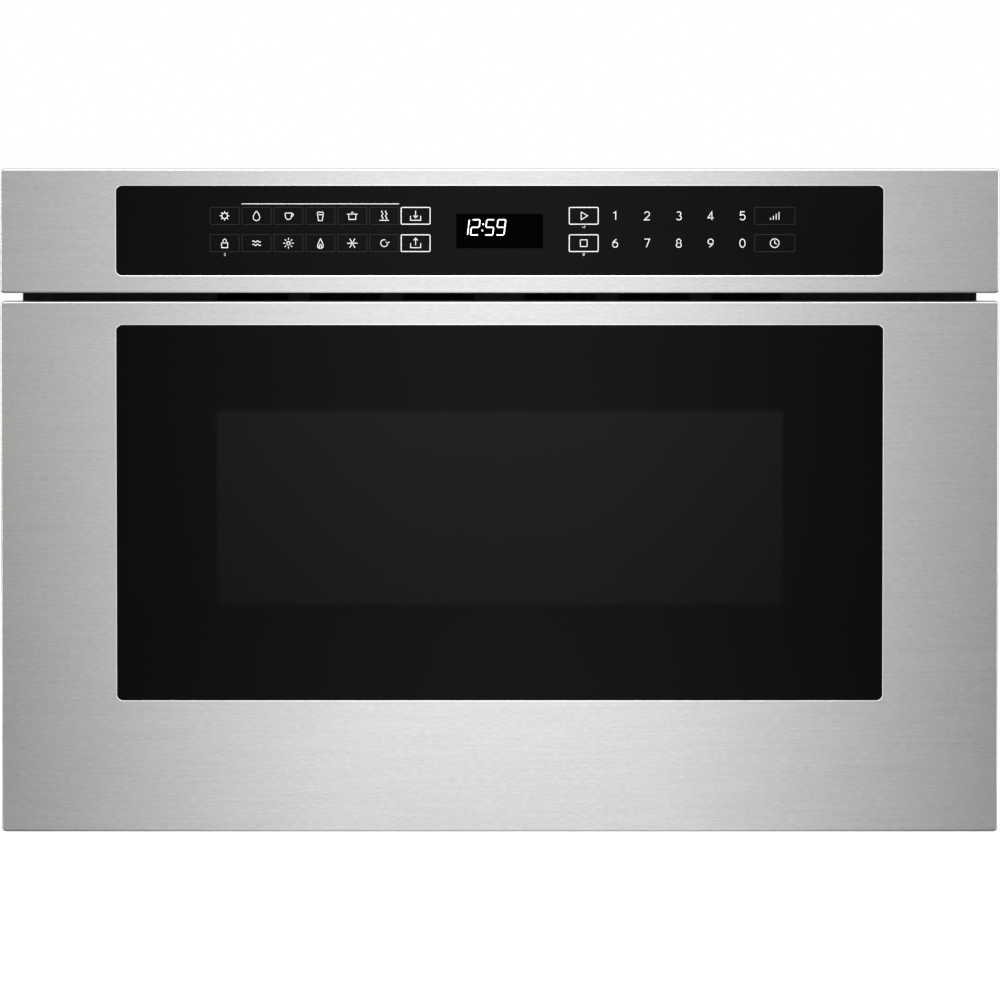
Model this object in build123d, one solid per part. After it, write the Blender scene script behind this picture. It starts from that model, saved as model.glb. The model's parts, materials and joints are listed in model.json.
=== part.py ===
from build123d import *
import math
import os

# Built-in microwave drawer, in millimetres.
# +X is to the right seen from the front, +Y goes into the cabinet, +Z is up.
# The origin lies under the middle of the whole product, level with the lowest edge of the drawer front.

# ---------------------------------------------------------------- overall
overall_width = 606.4
overall_height = 403.2
overall_depth = 593.7
panel_projection = 32.0        # front panels ahead of the cabinet's face
chassis_bottom = 13.0          # underside of the base pan above the drawer front's lower edge
chassis_top_drop = 20.2        # top of the chassis below the fascia's upper edge
cover_sheet = 0.8
frame_sheet = 1.0
frame_lip = 10.0               # depth of the front frame's returned edge
frame_corner_radius = 2.0
running_gap = 0.3              # clearance between neighbouring pieces that do not touch
overcut = 1.0                  # how far a cut runs past the surface that it opens

# ---------------------------------------------------------------- steel fronts and their glass
fascia_height = 75.3
panel_gap = 5.1
panel_sheet = 1.0
panel_corner_radius = 2.0
panel_edge_radius = 1.2
window_width = 466.0
window_bottom = 79.7           # lower edge of the window glass
window_top_margin = 14.1       # steel above the window glass
window_corner_radius = 4.0
window_glass_thickness = 4.0
control_glass_low_margin = 10.5   # steel below the control glass
control_glass_top_margin = 10.0   # steel above the control glass
control_glass_thickness = 3.0
glass_clearance = 0.4
glass_setback = 0.2
glass_bevel = 0.4

# ---------------------------------------------------------------- moulded carriers behind the fronts
carrier_wall = 2.5
carrier_seat_width = 7.0
carrier_seat_thickness = 2.0
carrier_rib = 2.0
carrier_rib_pitch = 62.0
carrier_bottom = 28.0
door_frame_margin = 1.5        # door frame above the choke
housing_inset = 5.0            # control housing inside the fascia's upper and lower returns
housing_floor = 2.0
housing_boss_diameter = 9.0
housing_boss_height = 2.0
housing_boss_inset = 48.2      # bosses from the housing's ends
housing_boss_rise = 30.0

# ---------------------------------------------------------------- cavity
cavity_width = 437.0
cavity_sheet = 0.8
cavity_corner_radius = 12.0
cavity_flange = 14.0
compartment_depth = 144.6      # room behind the cavity for the microwave and cooling parts
recess_size = 200.0
recess_rise = 14.0
recess_corner_radius = 30.0
stirrer_cover_thickness = 1.5
stirrer_cover_overlap = 4.0
support_width = 60.0
support_span = 30.0            # between the two walls of a folded support
support_foot_length = 15.0

# ---------------------------------------------------------------- door choke
choke_width = 24.5
choke_depth = 10.5
choke_cover_thickness = 1.65
choke_gap = 1.0
choke_slot_width = 3.0
choke_slot_pitch = 26.0
choke_slot_depth = 6.0
door_sheet = 1.0
view_width = 346.0
view_low_margin = 32.5         # view opening above the cavity's floor
view_top_margin = 30.5         # view opening below the cavity's roof
screen_overlap = 6.0
screen_sheet = 0.8
inner_window_thickness = 3.0
inner_window_margin = 10.0

# ---------------------------------------------------------------- drawer pan
pan_clearance = 6.5            # pan wall to cavity wall
pan_floor_clearance = 4.0
pan_sheet = 1.2
pan_wall_height = 92.0
pan_corner_radius = 14.0
pan_floor_radius = 8.0         # outside bend between the pan's floor and its walls
pan_rear_clearance = 9.0
pan_rim_width = 4.0
pan_front_margin = 1.5
plate_clearance = 12.0
plate_thickness = 5.0
plate_corner_radius = 16.0
plate_edge_radius = 1.25

# ---------------------------------------------------------------- slides
drawer_travel = 380.0
slide_height = 45.7
slide_thickness = 12.7
slide_sheet = 1.2
slide_bend_radius = 1.4
slide_rise = 15.0              # slides' centre line above the cavity's floor
slide_length = 450.0
slide_middle_shortfall = 20.0  # middle member shorter than the outer one
slide_inner_shortfall = 30.0   # inner member shorter than the outer one
slide_front_setback = 2.0
slide_lip = 2.0
slide_stop_width = 18.0        # stop tab bent inwards at a member's rear end
slide_hole_radius = 3.5
slide_hole_pitch = 96.0
slide_holes = 4
middle_web = 2.4               # outer face of the middle member's web from the outer web's face
ball_diameter = 4.4
ball_clearance = 0.05
ball_web_gap = 1.3             # inner balls from the inner member's web
ball_pitch = 30.0
balls_per_row = 5
outer_cage_web = 1.5           # cage webs from the outer web's face
inner_cage_web = 4.0
cage_sheet = 0.6
cage_length = 150.0
cage_reach = 3.3               # cage lips past the ball centres
bracket_gap = 5.5
bracket_sheet = 1.5
bracket_height = 30.0
bracket_flange = 14.0
bracket_head_drop = 58.0       # bracket head below the slides' centre line
bracket_hook_gap = 24.0        # bracket head below the latch hook's foot
support_foot = 11.0
slot_clearance = 2.0
slide_side_room = 15.3         # slides to the outside of the chassis

# ---------------------------------------------------------------- rack and pinion
gear_module = 2.0
pinion_teeth = 18
pressure_angle = 20.0
gear_backlash = 0.2
gear_root_clearance = 0.5
rack_width = 10.0
rack_back_height = 9.0
rack_headroom = 11.0           # rack below the door choke
rack_foot_size = 40.0
rack_foot_sheet = 2.0
pinion_width = 12.0
pinion_setback = 40.0          # pinion's axle behind the front frame
shaft_radius = 4.0
shaft_stub = 2.0
bearing_clearance = 0.05
gearbox_width = 30.0
gearbox_length = 62.0
gearbox_height = 48.0
gearbox_foot = 2.0
gearbox_corner_radius = 4.0
axle_to_gearbox_front = 20.7
drive_motor_diameter = 37.0
drive_motor_length = 58.0
drive_motor_offset = 20.7      # motor can behind the pinion's axle
motor_boss_radius = 6.2
motor_boss_length = 4.0
guide_sheet = 2.0
guide_length = 24.0
guide_foot_length = 14.0
guide_side_room = 3.0

# ---------------------------------------------------------------- mounting flanges and vent strip
post_height = 9.0
post_sheet = 1.0
post_overlap = 6.8             # posts' inner face inside the chassis's side
post_crown_width = 8.8
flange_reach = 11.2
post_low_margin = 7.0
post_top_margin = 3.0
post_tab_width = 5.2
post_tab_height = 30.0
post_tabs = 3
post_clearance = 3.0
flange_hole_diameter = 4.5
flange_hole_offset = 5.2       # screw holes from the flange's outer edge
flange_hole_low_margin = 40.0  # lower holes above the post's foot
flange_hole_top_margin = 90.0  # upper holes below the post's top
vent_strip_height = 18.5
vent_strip_overlap = 5.1       # vent strip's top above the fascia's lower edge
vent_strip_rise = 2.0          # vent strip above the choke
vent_strip_sheet = 1.5
vent_strip_end_gap = 0.5
vent_opening_width = 44.5
vent_opening_foot = 41.5       # width of a vent opening at its lower edge
vent_opening_height = 13.0
vent_opening_pitch = 56.7
vent_centre_land = 30.0
vent_openings_per_side = 3

# ---------------------------------------------------------------- base, cover and rear
base_sheet = 1.0
base_flange = 20.0
base_slot_length = 44.0
base_slot_width = 5.0
base_slot_pitch = 15.0
base_slots = 6
bead_width = 18.0              # stiffening beads pressed into the cover
bead_depth = 1.5
bead_length = 380.0
bead_offset = 150.0            # top beads from the middle
rear_sheet = 1.0
gland_recess_width = 60.0
gland_recess_height = 50.0
gland_recess_depth = 12.0
gland_recess_radius = 8.0
gland_inset = 62.2             # gland from the cover's inner side
gland_drop = 43.0              # gland below the top of the chassis
gland_bore_radius = 5.0
gland_body_radius = 8.0
gland_flange_radius = 12.0
gland_flange_thickness = 3.0
gland_length = 14.0
louvre_width = 46.0
louvre_height = 4.0
louvre_pitch = 12.0
louvre_count = 9
louvre_columns = 3
louvre_depth = 3.0
louvre_sheet = 0.8

# ---------------------------------------------------------------- microwave feed
guide_width = 96.0
guide_height = 40.0
guide_wall = 0.8
guide_front_reach = 48.0       # waveguide ahead of the stirrer's axle
feed_slot_length = 48.0
feed_slot_width = 24.0
stirrer_hole_radius = 6.0
stirrer_motor_diameter = 48.0
stirrer_motor_height = 15.0
stirrer_ear_span = 68.0
stirrer_ear_width = 12.0
stirrer_ear_sheet = 1.2
stirrer_shaft_radius = 3.0
stirrer_hub_radius = 10.0
stirrer_hub_height = 6.0
stirrer_blade_length = 68.0
stirrer_blade_width = 34.0
stirrer_blade_sheet = 0.8
stirrer_blade_tilt = 6.0
stirrer_blade_count = 4
magnetron_width = 90.0
magnetron_depth = 78.0
magnetron_height = 62.0
magnetron_sheet = 1.5
magnetron_anode_radius = 19.0
magnetron_magnet_radius = 27.0
magnetron_magnet_height = 12.0
fin_sheet = 0.6
fin_count = 6
antenna_radius = 9.5
antenna_height = 26.0
filter_box_height = 38.0
filter_box_inset = 6.0

# ---------------------------------------------------------------- cooling
fan_drop = 56.8                # fan's axle below the magnetron's middle
shroud_x = 96.0                # air entry plane of the fan
shroud_sheet = 2.5
shroud_rim = 25.5              # shroud above the fan's ring
shroud_foot = 14.0
fan_bore_radius = 57.0
fan_ring_depth = 22.0
fan_blade_setback = 1.0
fan_tip_clearance = 6.1
fan_hub_radius = 14.0
fan_hub_wall = 2.0
fan_hub_length = 20.0
fan_blade_count = 5
fan_blade_sheet = 1.4
fan_root_chord = 18.0
fan_tip_chord = 34.0
fan_root_pitch = 38.0
fan_tip_pitch = 24.0
fan_camber = 0.08              # bow of a blade's section, of its chord
fan_shaft_radius = 2.5
fan_motor_width = 60.0
fan_motor_thickness = 18.0
fan_motor_offset = 20.0
stator_corner_radius = 4.0
fan_coil_radius = 13.5
fan_coil_drop = 14.0
bearing_bridge_width = 14.0
bearing_bridge_thickness = 6.0
motor_arm_width = 12.0
motor_arm_sheet = 2.0
duct_sheet = 1.5
exhaust_plenum_depth = 40.0
compartment_gap = 4.0          # components from the walls of the rear compartment

# ---------------------------------------------------------------- electrical parts
transformer_x = -170.0
transformer_width = 104.0
transformer_height = 86.0
transformer_stack = 58.0
transformer_limb = 34.0
transformer_yoke = 16.0
transformer_foot = 2.0
transformer_wing = 8.0
coil_clearance = 1.0
coil_gap = 3.0
capacitor_gap = 4.8            # capacitor's clamp band from the transformer's foot
capacitor_width = 52.0
capacitor_thickness = 32.0
capacitor_height = 92.0
clamp_band_sheet = 1.2
clamp_band_height = 14.0
clamp_band_rise = 30.0
terminal_spacing = 20.8
terminal_sheet = 0.8
terminal_width = 6.4
terminal_height = 12.0
diode_radius = 3.5
diode_length = 18.0
diode_offset = 14.0            # diode behind the capacitor
diode_lug_length = 12.0
diode_lug_width = 10.0
diode_lug_sheet = 1.0
board_thickness = 1.6
standoff_height = 8.0
standoff_radius = 3.0
standoff_inset = 6.0
filter_board_width = 100.0
filter_board_height = 64.0
filter_board_inset = 12.0      # filter board from the cavity's side
filter_board_drop = 6.0        # filter board below the magnetron
filter_coil_radius = 9.0
filter_coil_thickness = 4.0
filter_coil_x = 26.0           # places on the filter board, from its lower left corner
filter_coil_z = 34.0
filter_coil_base = 16.0
filter_coil_base_height = 6.0
filter_capacitor_x = 55.0
filter_capacitor_z = 25.0
filter_capacitor_width = 18.0
filter_capacitor_length = 26.0
filter_capacitor_height = 12.0
filter_relay_x = 81.0
filter_relay_z = 22.0
filter_relay_width = 22.0
filter_relay_length = 16.0
filter_relay_height = 16.0
fuse_radius = 3.5
fuse_length = 28.0
fuse_z = 50.0
fuse_seat = 0.5                # how far the fuse sinks into its clips
control_board_inset = 18.0     # control board inside the control glass's ends
control_board_margin = 5.4
board_transformer_width = 36.0
board_transformer_length = 30.0
board_transformer_height = 14.0
board_component_inset = 20.0
board_relays = 3
board_relay_width = 20.0
board_relay_length = 16.0
board_relay_height = 12.0
board_relay_pitch = 26.0
board_capacitors = 4
board_capacitor_radius = 5.0
board_capacitor_height = 13.0
board_capacitor_pitch = 18.0
board_capacitor_inset = 90.0
display_width = 52.0
display_height = 20.2
display_low_margin = 17.0      # display above the control glass's lower edge
display_depth = 5.0
lamp_from_rear = 90.0
lamp_drop = 30.0               # lamp below the cavity's roof
lamp_box_size = 36.0
lamp_box_depth = 30.0
lamp_box_wall = 2.0
lamp_bulb_radius = 10.0
lamp_neck_radius = 7.0
lamp_hole_radius = 2.0
lamp_hole_pitch = 8.0
lamp_hole_rows = 3
cutout_radius = 8.0
cutout_height = 10.0
cutout_ear_length = 24.0
cutout_ear_width = 8.0
cutout_ear_sheet = 1.0
cutout_gap = 5.0               # roof cut-out's ears from the stirrer recess
cutout_from_middle = 60.0
sensor_base_radius = 9.0
sensor_base_height = 6.0
sensor_nozzle_radius = 5.0
sensor_nozzle_height = 10.0
hook_drop = 56.0               # latch hooks below the cavity's roof
hook_sheet = 3.0
hook_reach = 38.0
hook_shank = 6.0
hook_foot = 16.0
hook_barb = 4.0
latch_slot_width = 9.0
latch_slot_height = 19.0
switch_width = 28.0
switch_height = 16.0
switch_thickness = 10.0
switch_setback = 14.0
switch_plate_offset = 6.0      # switch bracket beside the hook
switch_bracket_length = 52.0
switch_bracket_height = 60.0
switch_bracket_flange = 6.0

# ================================================================ places worked out from the sizes
front_y = -overall_depth / 2
rear_y = overall_depth / 2
cabinet_face = front_y + panel_projection
frame_front = cabinet_face
frame_back = frame_front + frame_sheet
frame_lip_end = frame_back + frame_lip
rear_inside = rear_y - rear_sheet
chassis_top = overall_height - chassis_top_drop
cover_inside_top = chassis_top - cover_sheet
base_top = chassis_bottom + base_sheet

drawer_front_height = overall_height - fascia_height - panel_gap
fascia_bottom = overall_height - fascia_height
panel_back = front_y + panel_sheet
panel_return = panel_projection - post_height - post_clearance
window_height = drawer_front_height - window_top_margin - window_bottom
control_glass_bottom = fascia_bottom + control_glass_low_margin
control_glass_height = fascia_height - control_glass_low_margin - control_glass_top_margin
glass_front = front_y + glass_setback
window_glass_back = glass_front + window_glass_thickness
control_glass_back = glass_front + control_glass_thickness

pinion_radius = gear_module * pinion_teeth / 2
gear_pitch = math.pi * gear_module
pinion_y = frame_back + pinion_setback
pinion_height = base_top + gearbox_foot + gearbox_height / 2
rack_pitch_height = pinion_height + pinion_radius
rack_top = rack_pitch_height + gear_module + gear_root_clearance + rack_back_height

vent_strip_top = fascia_bottom + vent_strip_overlap
vent_strip_bottom = vent_strip_top - vent_strip_height
vent_strip_middle = (vent_strip_bottom + vent_strip_top) / 2
vent_half = vent_centre_land / 2 + vent_openings_per_side * vent_opening_pitch

cavity_half = cavity_width / 2
choke_half = cavity_half + choke_width
choke_bottom = rack_top + rack_headroom
choke_top = vent_strip_bottom - vent_strip_rise
choke_back = frame_front - choke_gap
choke_cover_front = choke_back - choke_cover_thickness
door_plate_back = choke_cover_front - choke_depth
door_plate_front = door_plate_back - door_sheet
door_frame_top = choke_top + door_frame_margin

cavity_floor = choke_bottom + choke_width
cavity_top = choke_top - choke_width
cavity_height = cavity_top - cavity_floor
cavity_rear = rear_inside - compartment_depth - cavity_sheet
cavity_depth = cavity_rear - frame_back
cavity_roof = cavity_top + cavity_sheet
cavity_middle_y = (frame_back + cavity_rear) / 2
recess_roof = cavity_roof + recess_rise
view_bottom = cavity_floor + view_low_margin
view_top = cavity_top - view_top_margin

pan_half = cavity_half - pan_clearance
pan_bottom = cavity_floor + pan_floor_clearance
pan_rear = cavity_rear - pan_rear_clearance
pan_inside_floor = pan_bottom + pan_sheet

bracket_inboard = choke_half + bracket_gap
slide_inboard = bracket_inboard + bracket_sheet
slide_outboard = slide_inboard + slide_thickness
slide_middle_x = (slide_inboard + slide_outboard) / 2
slide_centre = cavity_floor + slide_rise
slide_front = frame_back + slide_front_setback
slide_middle_length = slide_length - slide_middle_shortfall
slide_inner_length = slide_length - slide_inner_shortfall
half_sheet = slide_sheet / 2
outer_race = slide_height / 2 - slide_sheet
outer_ball_row = outer_race - ball_clearance - ball_diameter / 2
middle_race = outer_ball_row - ball_clearance - ball_diameter / 2
inner_ball_row = middle_race - slide_sheet - ball_clearance - ball_diameter / 2
inner_race = inner_ball_row - ball_clearance - ball_diameter / 2
outer_ball_depth = slide_thickness / 2
inner_ball_depth = slide_thickness - slide_sheet - ball_web_gap - ball_diameter / 2

chassis_half = slide_outboard + slide_side_room
inner_half = chassis_half - cover_sheet
post_inner_half = chassis_half - post_overlap
post_crown_front = cabinet_face - post_height
post_bottom = chassis_bottom + post_low_margin
post_top = chassis_top - post_top_margin
flange_edge = post_inner_half + post_crown_width + flange_reach
flange_hole_low = post_bottom + flange_hole_low_margin
flange_hole_high = post_top - flange_hole_top_margin
carrier_half = post_inner_half - post_clearance

compartment_front = cavity_rear + cavity_sheet
compartment_middle = (compartment_front + rear_inside) / 2
guide_bottom = recess_roof
guide_top = guide_bottom + guide_height
stirrer_y = cavity_middle_y
magnetron_y = compartment_middle
magnetron_top = guide_bottom
magnetron_bottom = magnetron_top - magnetron_height
magnetron_middle = (magnetron_top + magnetron_bottom) / 2
fan_axis_y = magnetron_y
fan_axis_height = magnetron_middle - fan_drop
fan_motor_face = shroud_x + fan_ring_depth + fan_motor_offset
shroud_top = fan_axis_height + fan_bore_radius + shroud_sheet + shroud_rim
gland_offset = inner_half - gland_inset
gland_height = chassis_top - gland_drop

capacitor_x = (
    transformer_x + transformer_width / 2 + transformer_wing
    + capacitor_gap + clamp_band_sheet + capacitor_width / 2
)
lamp_y = cavity_rear - lamp_from_rear
lamp_height = cavity_top - lamp_drop
hook_height = cavity_top - hook_drop
display_bottom = control_glass_bottom + display_low_margin


# ================================================================ helpers
def block(x0, x1, y0, y1, z0, z1):
    """Cuboid between two opposite corners."""
    return Pos((x0 + x1) / 2, (y0 + y1) / 2, (z0 + z1) / 2) * Box(abs(x1 - x0), y1 - y0, z1 - z0)


def front_prism(sketch, y0, y1):
    """Prism of an outline seen from the front (X across, Z up) from depth y0 to y1."""
    seen_from_front = Plane(origin=(0, y1, 0), x_dir=(1, 0, 0), z_dir=(0, -1, 0))
    return extrude(seen_from_front * sketch, amount=y1 - y0)


def side_prism(sketch, x0, x1):
    """Prism of an outline seen from the right (Y across, Z up) from x0 to x1."""
    seen_from_side = Plane(origin=(x0, 0, 0), x_dir=(0, 1, 0), z_dir=(1, 0, 0))
    return extrude(seen_from_side * sketch, amount=x1 - x0)


def plan_prism(sketch, z0, z1):
    """Prism of an outline seen from above from height z0 to z1."""
    return extrude(Pos(0, 0, z0) * sketch, amount=z1 - z0)


def rectangle_between(a0, a1, b0, b1):
    """Rectangle sketch between two opposite corners."""
    return Pos((a0 + a1) / 2, (b0 + b1) / 2) * Rectangle(abs(a1 - a0), b1 - b0)


def rounded_between(a0, a1, b0, b1, radius):
    """Rectangle sketch with rounded corners between two opposite corners."""
    return Pos((a0 + a1) / 2, (b0 + b1) / 2) * RectangleRounded(a1 - a0, b1 - b0, radius)


def rod_x(x0, x1, y, z, radius):
    """Cylinder along X."""
    return side_prism(Pos(y, z) * Circle(radius), x0, x1)


def rod_y(x, y0, y1, z, radius):
    """Cylinder along Y."""
    return front_prism(Pos(x, z) * Circle(radius), y0, y1)


def rod_z(x, y, z0, z1, radius):
    """Cylinder along Z."""
    return plan_prism(Pos(x, y) * Circle(radius), z0, z1)


def spread(count, pitch):
    """Offsets of evenly spaced copies about the middle."""
    return [(i - (count - 1) / 2) * pitch for i in range(count)]


def mirrored(shape):
    """The same piece on the other side of the middle."""
    return mirror(shape, about=Plane.YZ)


def gathered(shapes):
    """Several separate solids as one group."""
    return Compound(children=[solid for shape in shapes for solid in shape.solids()])


# ================================================================ front panels
def steel_front(bottom, height, opening_bottom, opening_height):
    """Sheet-steel front with four returned edges and an opening for its glass."""
    half = overall_width / 2
    outline = rounded_between(-half, half, bottom, bottom + height, panel_corner_radius)
    shell = front_prism(outline, front_y, front_y + panel_return)
    shell = fillet(shell.edges().group_by(Axis.Y)[0], panel_edge_radius)
    hollow = rounded_between(
        -half + panel_sheet, half - panel_sheet,
        bottom + panel_sheet, bottom + height - panel_sheet, panel_corner_radius - panel_sheet,
    )
    shell -= front_prism(hollow, panel_back, front_y + panel_return + overcut)
    opening = glass_outline(opening_bottom, opening_height, glass_clearance)
    return shell - front_prism(opening, front_y - overcut, panel_back + overcut)


def glass_outline(bottom, height, grow):
    """Outline of a front glass, enlarged all round by grow."""
    half = window_width / 2 + grow
    radius = max(window_corner_radius + grow, glass_clearance)
    return rounded_between(-half, half, bottom - grow, bottom + height + grow, radius)


def front_glass(bottom, height, thickness):
    """Flush glass with a small bevel round its front face."""
    pane = front_prism(glass_outline(bottom, height, 0), glass_front, glass_front + thickness)
    return chamfer(pane.edges().group_by(Axis.Y)[0], glass_bevel)


def carrier(outer, glass_bottom, glass_height, glass_back, back):
    """Ribbed moulding that holds a glass: web, outer wall, glass seat and ribs."""
    inner_edge = glass_outline(glass_bottom, glass_height, glass_clearance)
    seat_edge = glass_outline(glass_bottom, glass_height, glass_clearance + carrier_wall)
    web = front_prism(outer - inner_edge, panel_back, panel_back + carrier_wall)
    outer_wall = front_prism(outer - offset(outer, -carrier_wall), panel_back, back)
    seat_wall = front_prism(seat_edge - inner_edge, panel_back, back)
    sight = glass_outline(glass_bottom, glass_height, -carrier_seat_width)
    seat = front_prism(seat_edge - sight, glass_back, glass_back + carrier_seat_thickness)
    box = outer.bounding_box()
    width = box.max.X - box.min.X
    middle = box.center().Y
    comb = Pos(0, middle) * Rectangle(width, carrier_rib)
    for x in spread(int(width / carrier_rib_pitch), carrier_rib_pitch):
        comb += Pos(x, middle) * Rectangle(carrier_rib, box.max.Y - box.min.Y)
    ribs = front_prism(comb & (outer - seat_edge), panel_back, back)
    return web + outer_wall + seat_wall + seat + ribs


def drawer_front_panel():
    return steel_front(0, drawer_front_height, window_bottom, window_height)


def control_fascia():
    return steel_front(fascia_bottom, fascia_height, control_glass_bottom, control_glass_height)


def window_glass():
    return front_glass(window_bottom, window_height, window_glass_thickness)


def control_glass():
    return front_glass(control_glass_bottom, control_glass_height, control_glass_thickness)


def door_carrier():
    """Moulding between the drawer's steel front and the pressed door frame."""
    outer = rectangle_between(-carrier_half, carrier_half, carrier_bottom, door_frame_top)
    return carrier(outer, window_bottom, window_height, window_glass_back, door_plate_front)


def housing_outline():
    return rectangle_between(
        -carrier_half, carrier_half,
        fascia_bottom + panel_sheet + housing_inset, overall_height - panel_sheet - housing_inset,
    )


def control_housing():
    """Closed tray behind the fascia, standing on four bosses on the front frame."""
    outer = housing_outline()
    back = cabinet_face - housing_boss_height
    shell = carrier(outer, control_glass_bottom, control_glass_height, control_glass_back, back)
    shell += front_prism(outer, back - housing_floor, back)
    boss_x = carrier_half - housing_boss_inset
    for x in (-boss_x, boss_x):
        for z in (control_glass_bottom, control_glass_bottom + housing_boss_rise):
            shell += rod_y(x, back - housing_floor, cabinet_face, z, housing_boss_diameter / 2)
    return shell


# ================================================================ drawer door
def ring(half_out, z0_out, z1_out, half_in, z0_in, z1_in, y0, y1):
    """Rectangular ring seen from the front."""
    outer = rectangle_between(-half_out, half_out, z0_out, z1_out)
    inner = rectangle_between(-half_in, half_in, z0_in, z1_in)
    return front_prism(outer - inner, y0, y1)


def door_frame():
    """Pressed backing plate with the slotted choke channel round the cavity's mouth."""
    plate = front_prism(
        rectangle_between(-carrier_half, carrier_half, carrier_bottom, door_frame_top),
        door_plate_front, door_plate_back,
    )
    plate -= front_prism(
        rounded_between(-view_width / 2, view_width / 2, view_bottom, view_top, window_corner_radius),
        door_plate_front - overcut, door_plate_back + overcut,
    )
    outer_wall = ring(
        choke_half, choke_bottom, choke_top,
        choke_half - door_sheet, choke_bottom + door_sheet, choke_top - door_sheet,
        door_plate_back, choke_cover_front,
    )
    inner_wall = ring(
        cavity_half + door_sheet, cavity_floor - door_sheet, cavity_top + door_sheet,
        cavity_half, cavity_floor, cavity_top,
        door_plate_back, choke_cover_front,
    )
    middle = (cavity_floor + cavity_top) / 2
    past_wall = 2 * (overcut + door_sheet)
    slots = Sketch()
    for x in spread(int(cavity_width / choke_slot_pitch), choke_slot_pitch):
        slots += Pos(x, middle) * Rectangle(choke_slot_width, cavity_height + past_wall)
    for z in spread(int(cavity_height / choke_slot_pitch), choke_slot_pitch):
        slots += Pos(0, middle + z) * Rectangle(cavity_width + past_wall, choke_slot_width)
    inner_wall -= front_prism(slots, choke_cover_front - choke_slot_depth, choke_cover_front + overcut)
    return plate + outer_wall + inner_wall


def choke_cover():
    return ring(
        choke_half, choke_bottom, choke_top, cavity_half, cavity_floor, cavity_top,
        choke_cover_front, choke_back,
    )


def perforated_screen():
    """Screen plate in front of the door frame's view opening."""
    half = view_width / 2 + screen_overlap
    outline = rounded_between(
        -half, half, view_bottom - screen_overlap, view_top + screen_overlap, window_corner_radius
    )
    return front_prism(outline, door_plate_front - screen_sheet, door_plate_front)


def inner_window_outline(grow):
    """Outline of the inner window, enlarged all round by grow."""
    margin = inner_window_margin + grow
    half = view_width / 2 + margin
    return rounded_between(
        -half, half, view_bottom - margin, view_top + margin, window_corner_radius + grow
    )


def inner_window():
    return front_prism(inner_window_outline(0), door_plate_back, door_plate_back + inner_window_thickness)


def door_bracket():
    """Right-hand bracket: flange on the door frame, deep head, long arm along the slide."""
    arm_end = slide_front + slide_inner_length
    head_back = frame_front - choke_gap
    head_low = slide_centre - bracket_head_drop
    head_high = hook_height - hook_foot / 2 - bracket_hook_gap
    arm_low = slide_centre - bracket_height / 2
    arm_high = slide_centre + bracket_height / 2
    head = rectangle_between(door_plate_back, head_back, head_low, head_high)
    arm = rectangle_between(door_plate_back, arm_end, arm_low, arm_high)
    web = side_prism(head + arm, bracket_inboard, slide_inboard)
    flange = block(
        bracket_inboard, bracket_inboard + bracket_flange,
        door_plate_back, door_plate_back + bracket_sheet, head_low, head_high,
    )
    return web + flange


def latch_hooks():
    """Two hooks that reach through the front frame to the interlock switches."""
    tip = door_plate_back + bracket_sheet + hook_reach
    root = door_plate_back + hook_sheet
    foot = hook_foot / 2
    shank = hook_shank / 2
    outline = Polyline(
        (door_plate_back, hook_height - foot), (root, hook_height - foot), (root, hook_height - shank),
        (tip - hook_barb, hook_height - shank), (tip - hook_barb / 4, hook_height - shank - hook_barb),
        (tip, hook_height - shank - hook_barb), (tip + hook_barb / 2, hook_height - shank),
        (tip, hook_height + shank), (root, hook_height + shank), (root, hook_height + foot),
        (door_plate_back, hook_height + foot), close=True,
    )
    half = hook_sheet / 2
    hook = side_prism(make_face(outline), slide_middle_x - half, slide_middle_x + half)
    return gathered([hook, mirrored(hook)])


def drawer_pan():
    """Pan with rounded corners, floor bends and a rim, welded to a front plate with the view opening."""
    wall_top = pan_bottom + pan_wall_height
    ahead = pan_corner_radius * 2
    outer = rounded_between(-pan_half, pan_half, door_plate_back - ahead, pan_rear, pan_corner_radius)
    inner = offset(outer, -pan_sheet)
    tub = plan_prism(outer, pan_bottom, wall_top)
    tub = fillet(tub.edges().group_by(Axis.Z)[0], pan_floor_radius)
    hollow = plan_prism(inner, pan_inside_floor, wall_top + overcut)
    tub -= fillet(hollow.edges().group_by(Axis.Z)[0], pan_floor_radius - pan_sheet)
    tub += plan_prism(offset(outer, pan_rim_width) - inner, wall_top - pan_sheet, wall_top)
    reach = pan_half + pan_rim_width + overcut
    tub -= block(
        -reach, reach, door_plate_back - 2 * ahead, door_plate_back,
        pan_bottom - overcut, wall_top + overcut,
    )
    front_half = cavity_half - pan_front_margin
    plate_outline = rectangle_between(
        -front_half, front_half, cavity_floor + pan_front_margin, cavity_top - pan_front_margin
    )
    plate = front_prism(
        plate_outline - inner_window_outline(running_gap), door_plate_back, door_plate_back + pan_sheet
    )
    return tub + plate


def ceramic_plate():
    """Flat plate with rounded corners and a softened upper edge."""
    half = pan_half - pan_sheet - plate_clearance
    outline = rounded_between(
        -half, half, door_plate_back + pan_sheet + plate_clearance,
        pan_rear - pan_sheet - plate_clearance, plate_corner_radius,
    )
    slab = plan_prism(outline, pan_inside_floor, pan_inside_floor + plate_thickness)
    return fillet(slab.edges().group_by(Axis.Z)[-1], plate_edge_radius)


# ================================================================ ball slides
def slide_section(points):
    """Folded section of the right-hand slide: (inwards from the outer web, up from the centre)."""
    path = FilletPolyline(
        *[(slide_outboard - u, slide_centre + v) for u, v in points], radius=slide_bend_radius
    )
    return trace(path, slide_sheet)


def slide_outer():
    """Outer member: a channel open to the middle, with ball lips and a stop tab at its rear end."""
    flange = slide_height / 2 - half_sheet
    tip = slide_thickness - half_sheet
    section = slide_section([
        (tip, flange - slide_lip), (tip, flange), (half_sheet, flange),
        (half_sheet, -flange), (tip, -flange), (tip, -flange + slide_lip),
    ])
    end = slide_front + slide_length
    return front_prism(section, slide_front, end) + stop_tab(half_sheet, tip, end)


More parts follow.
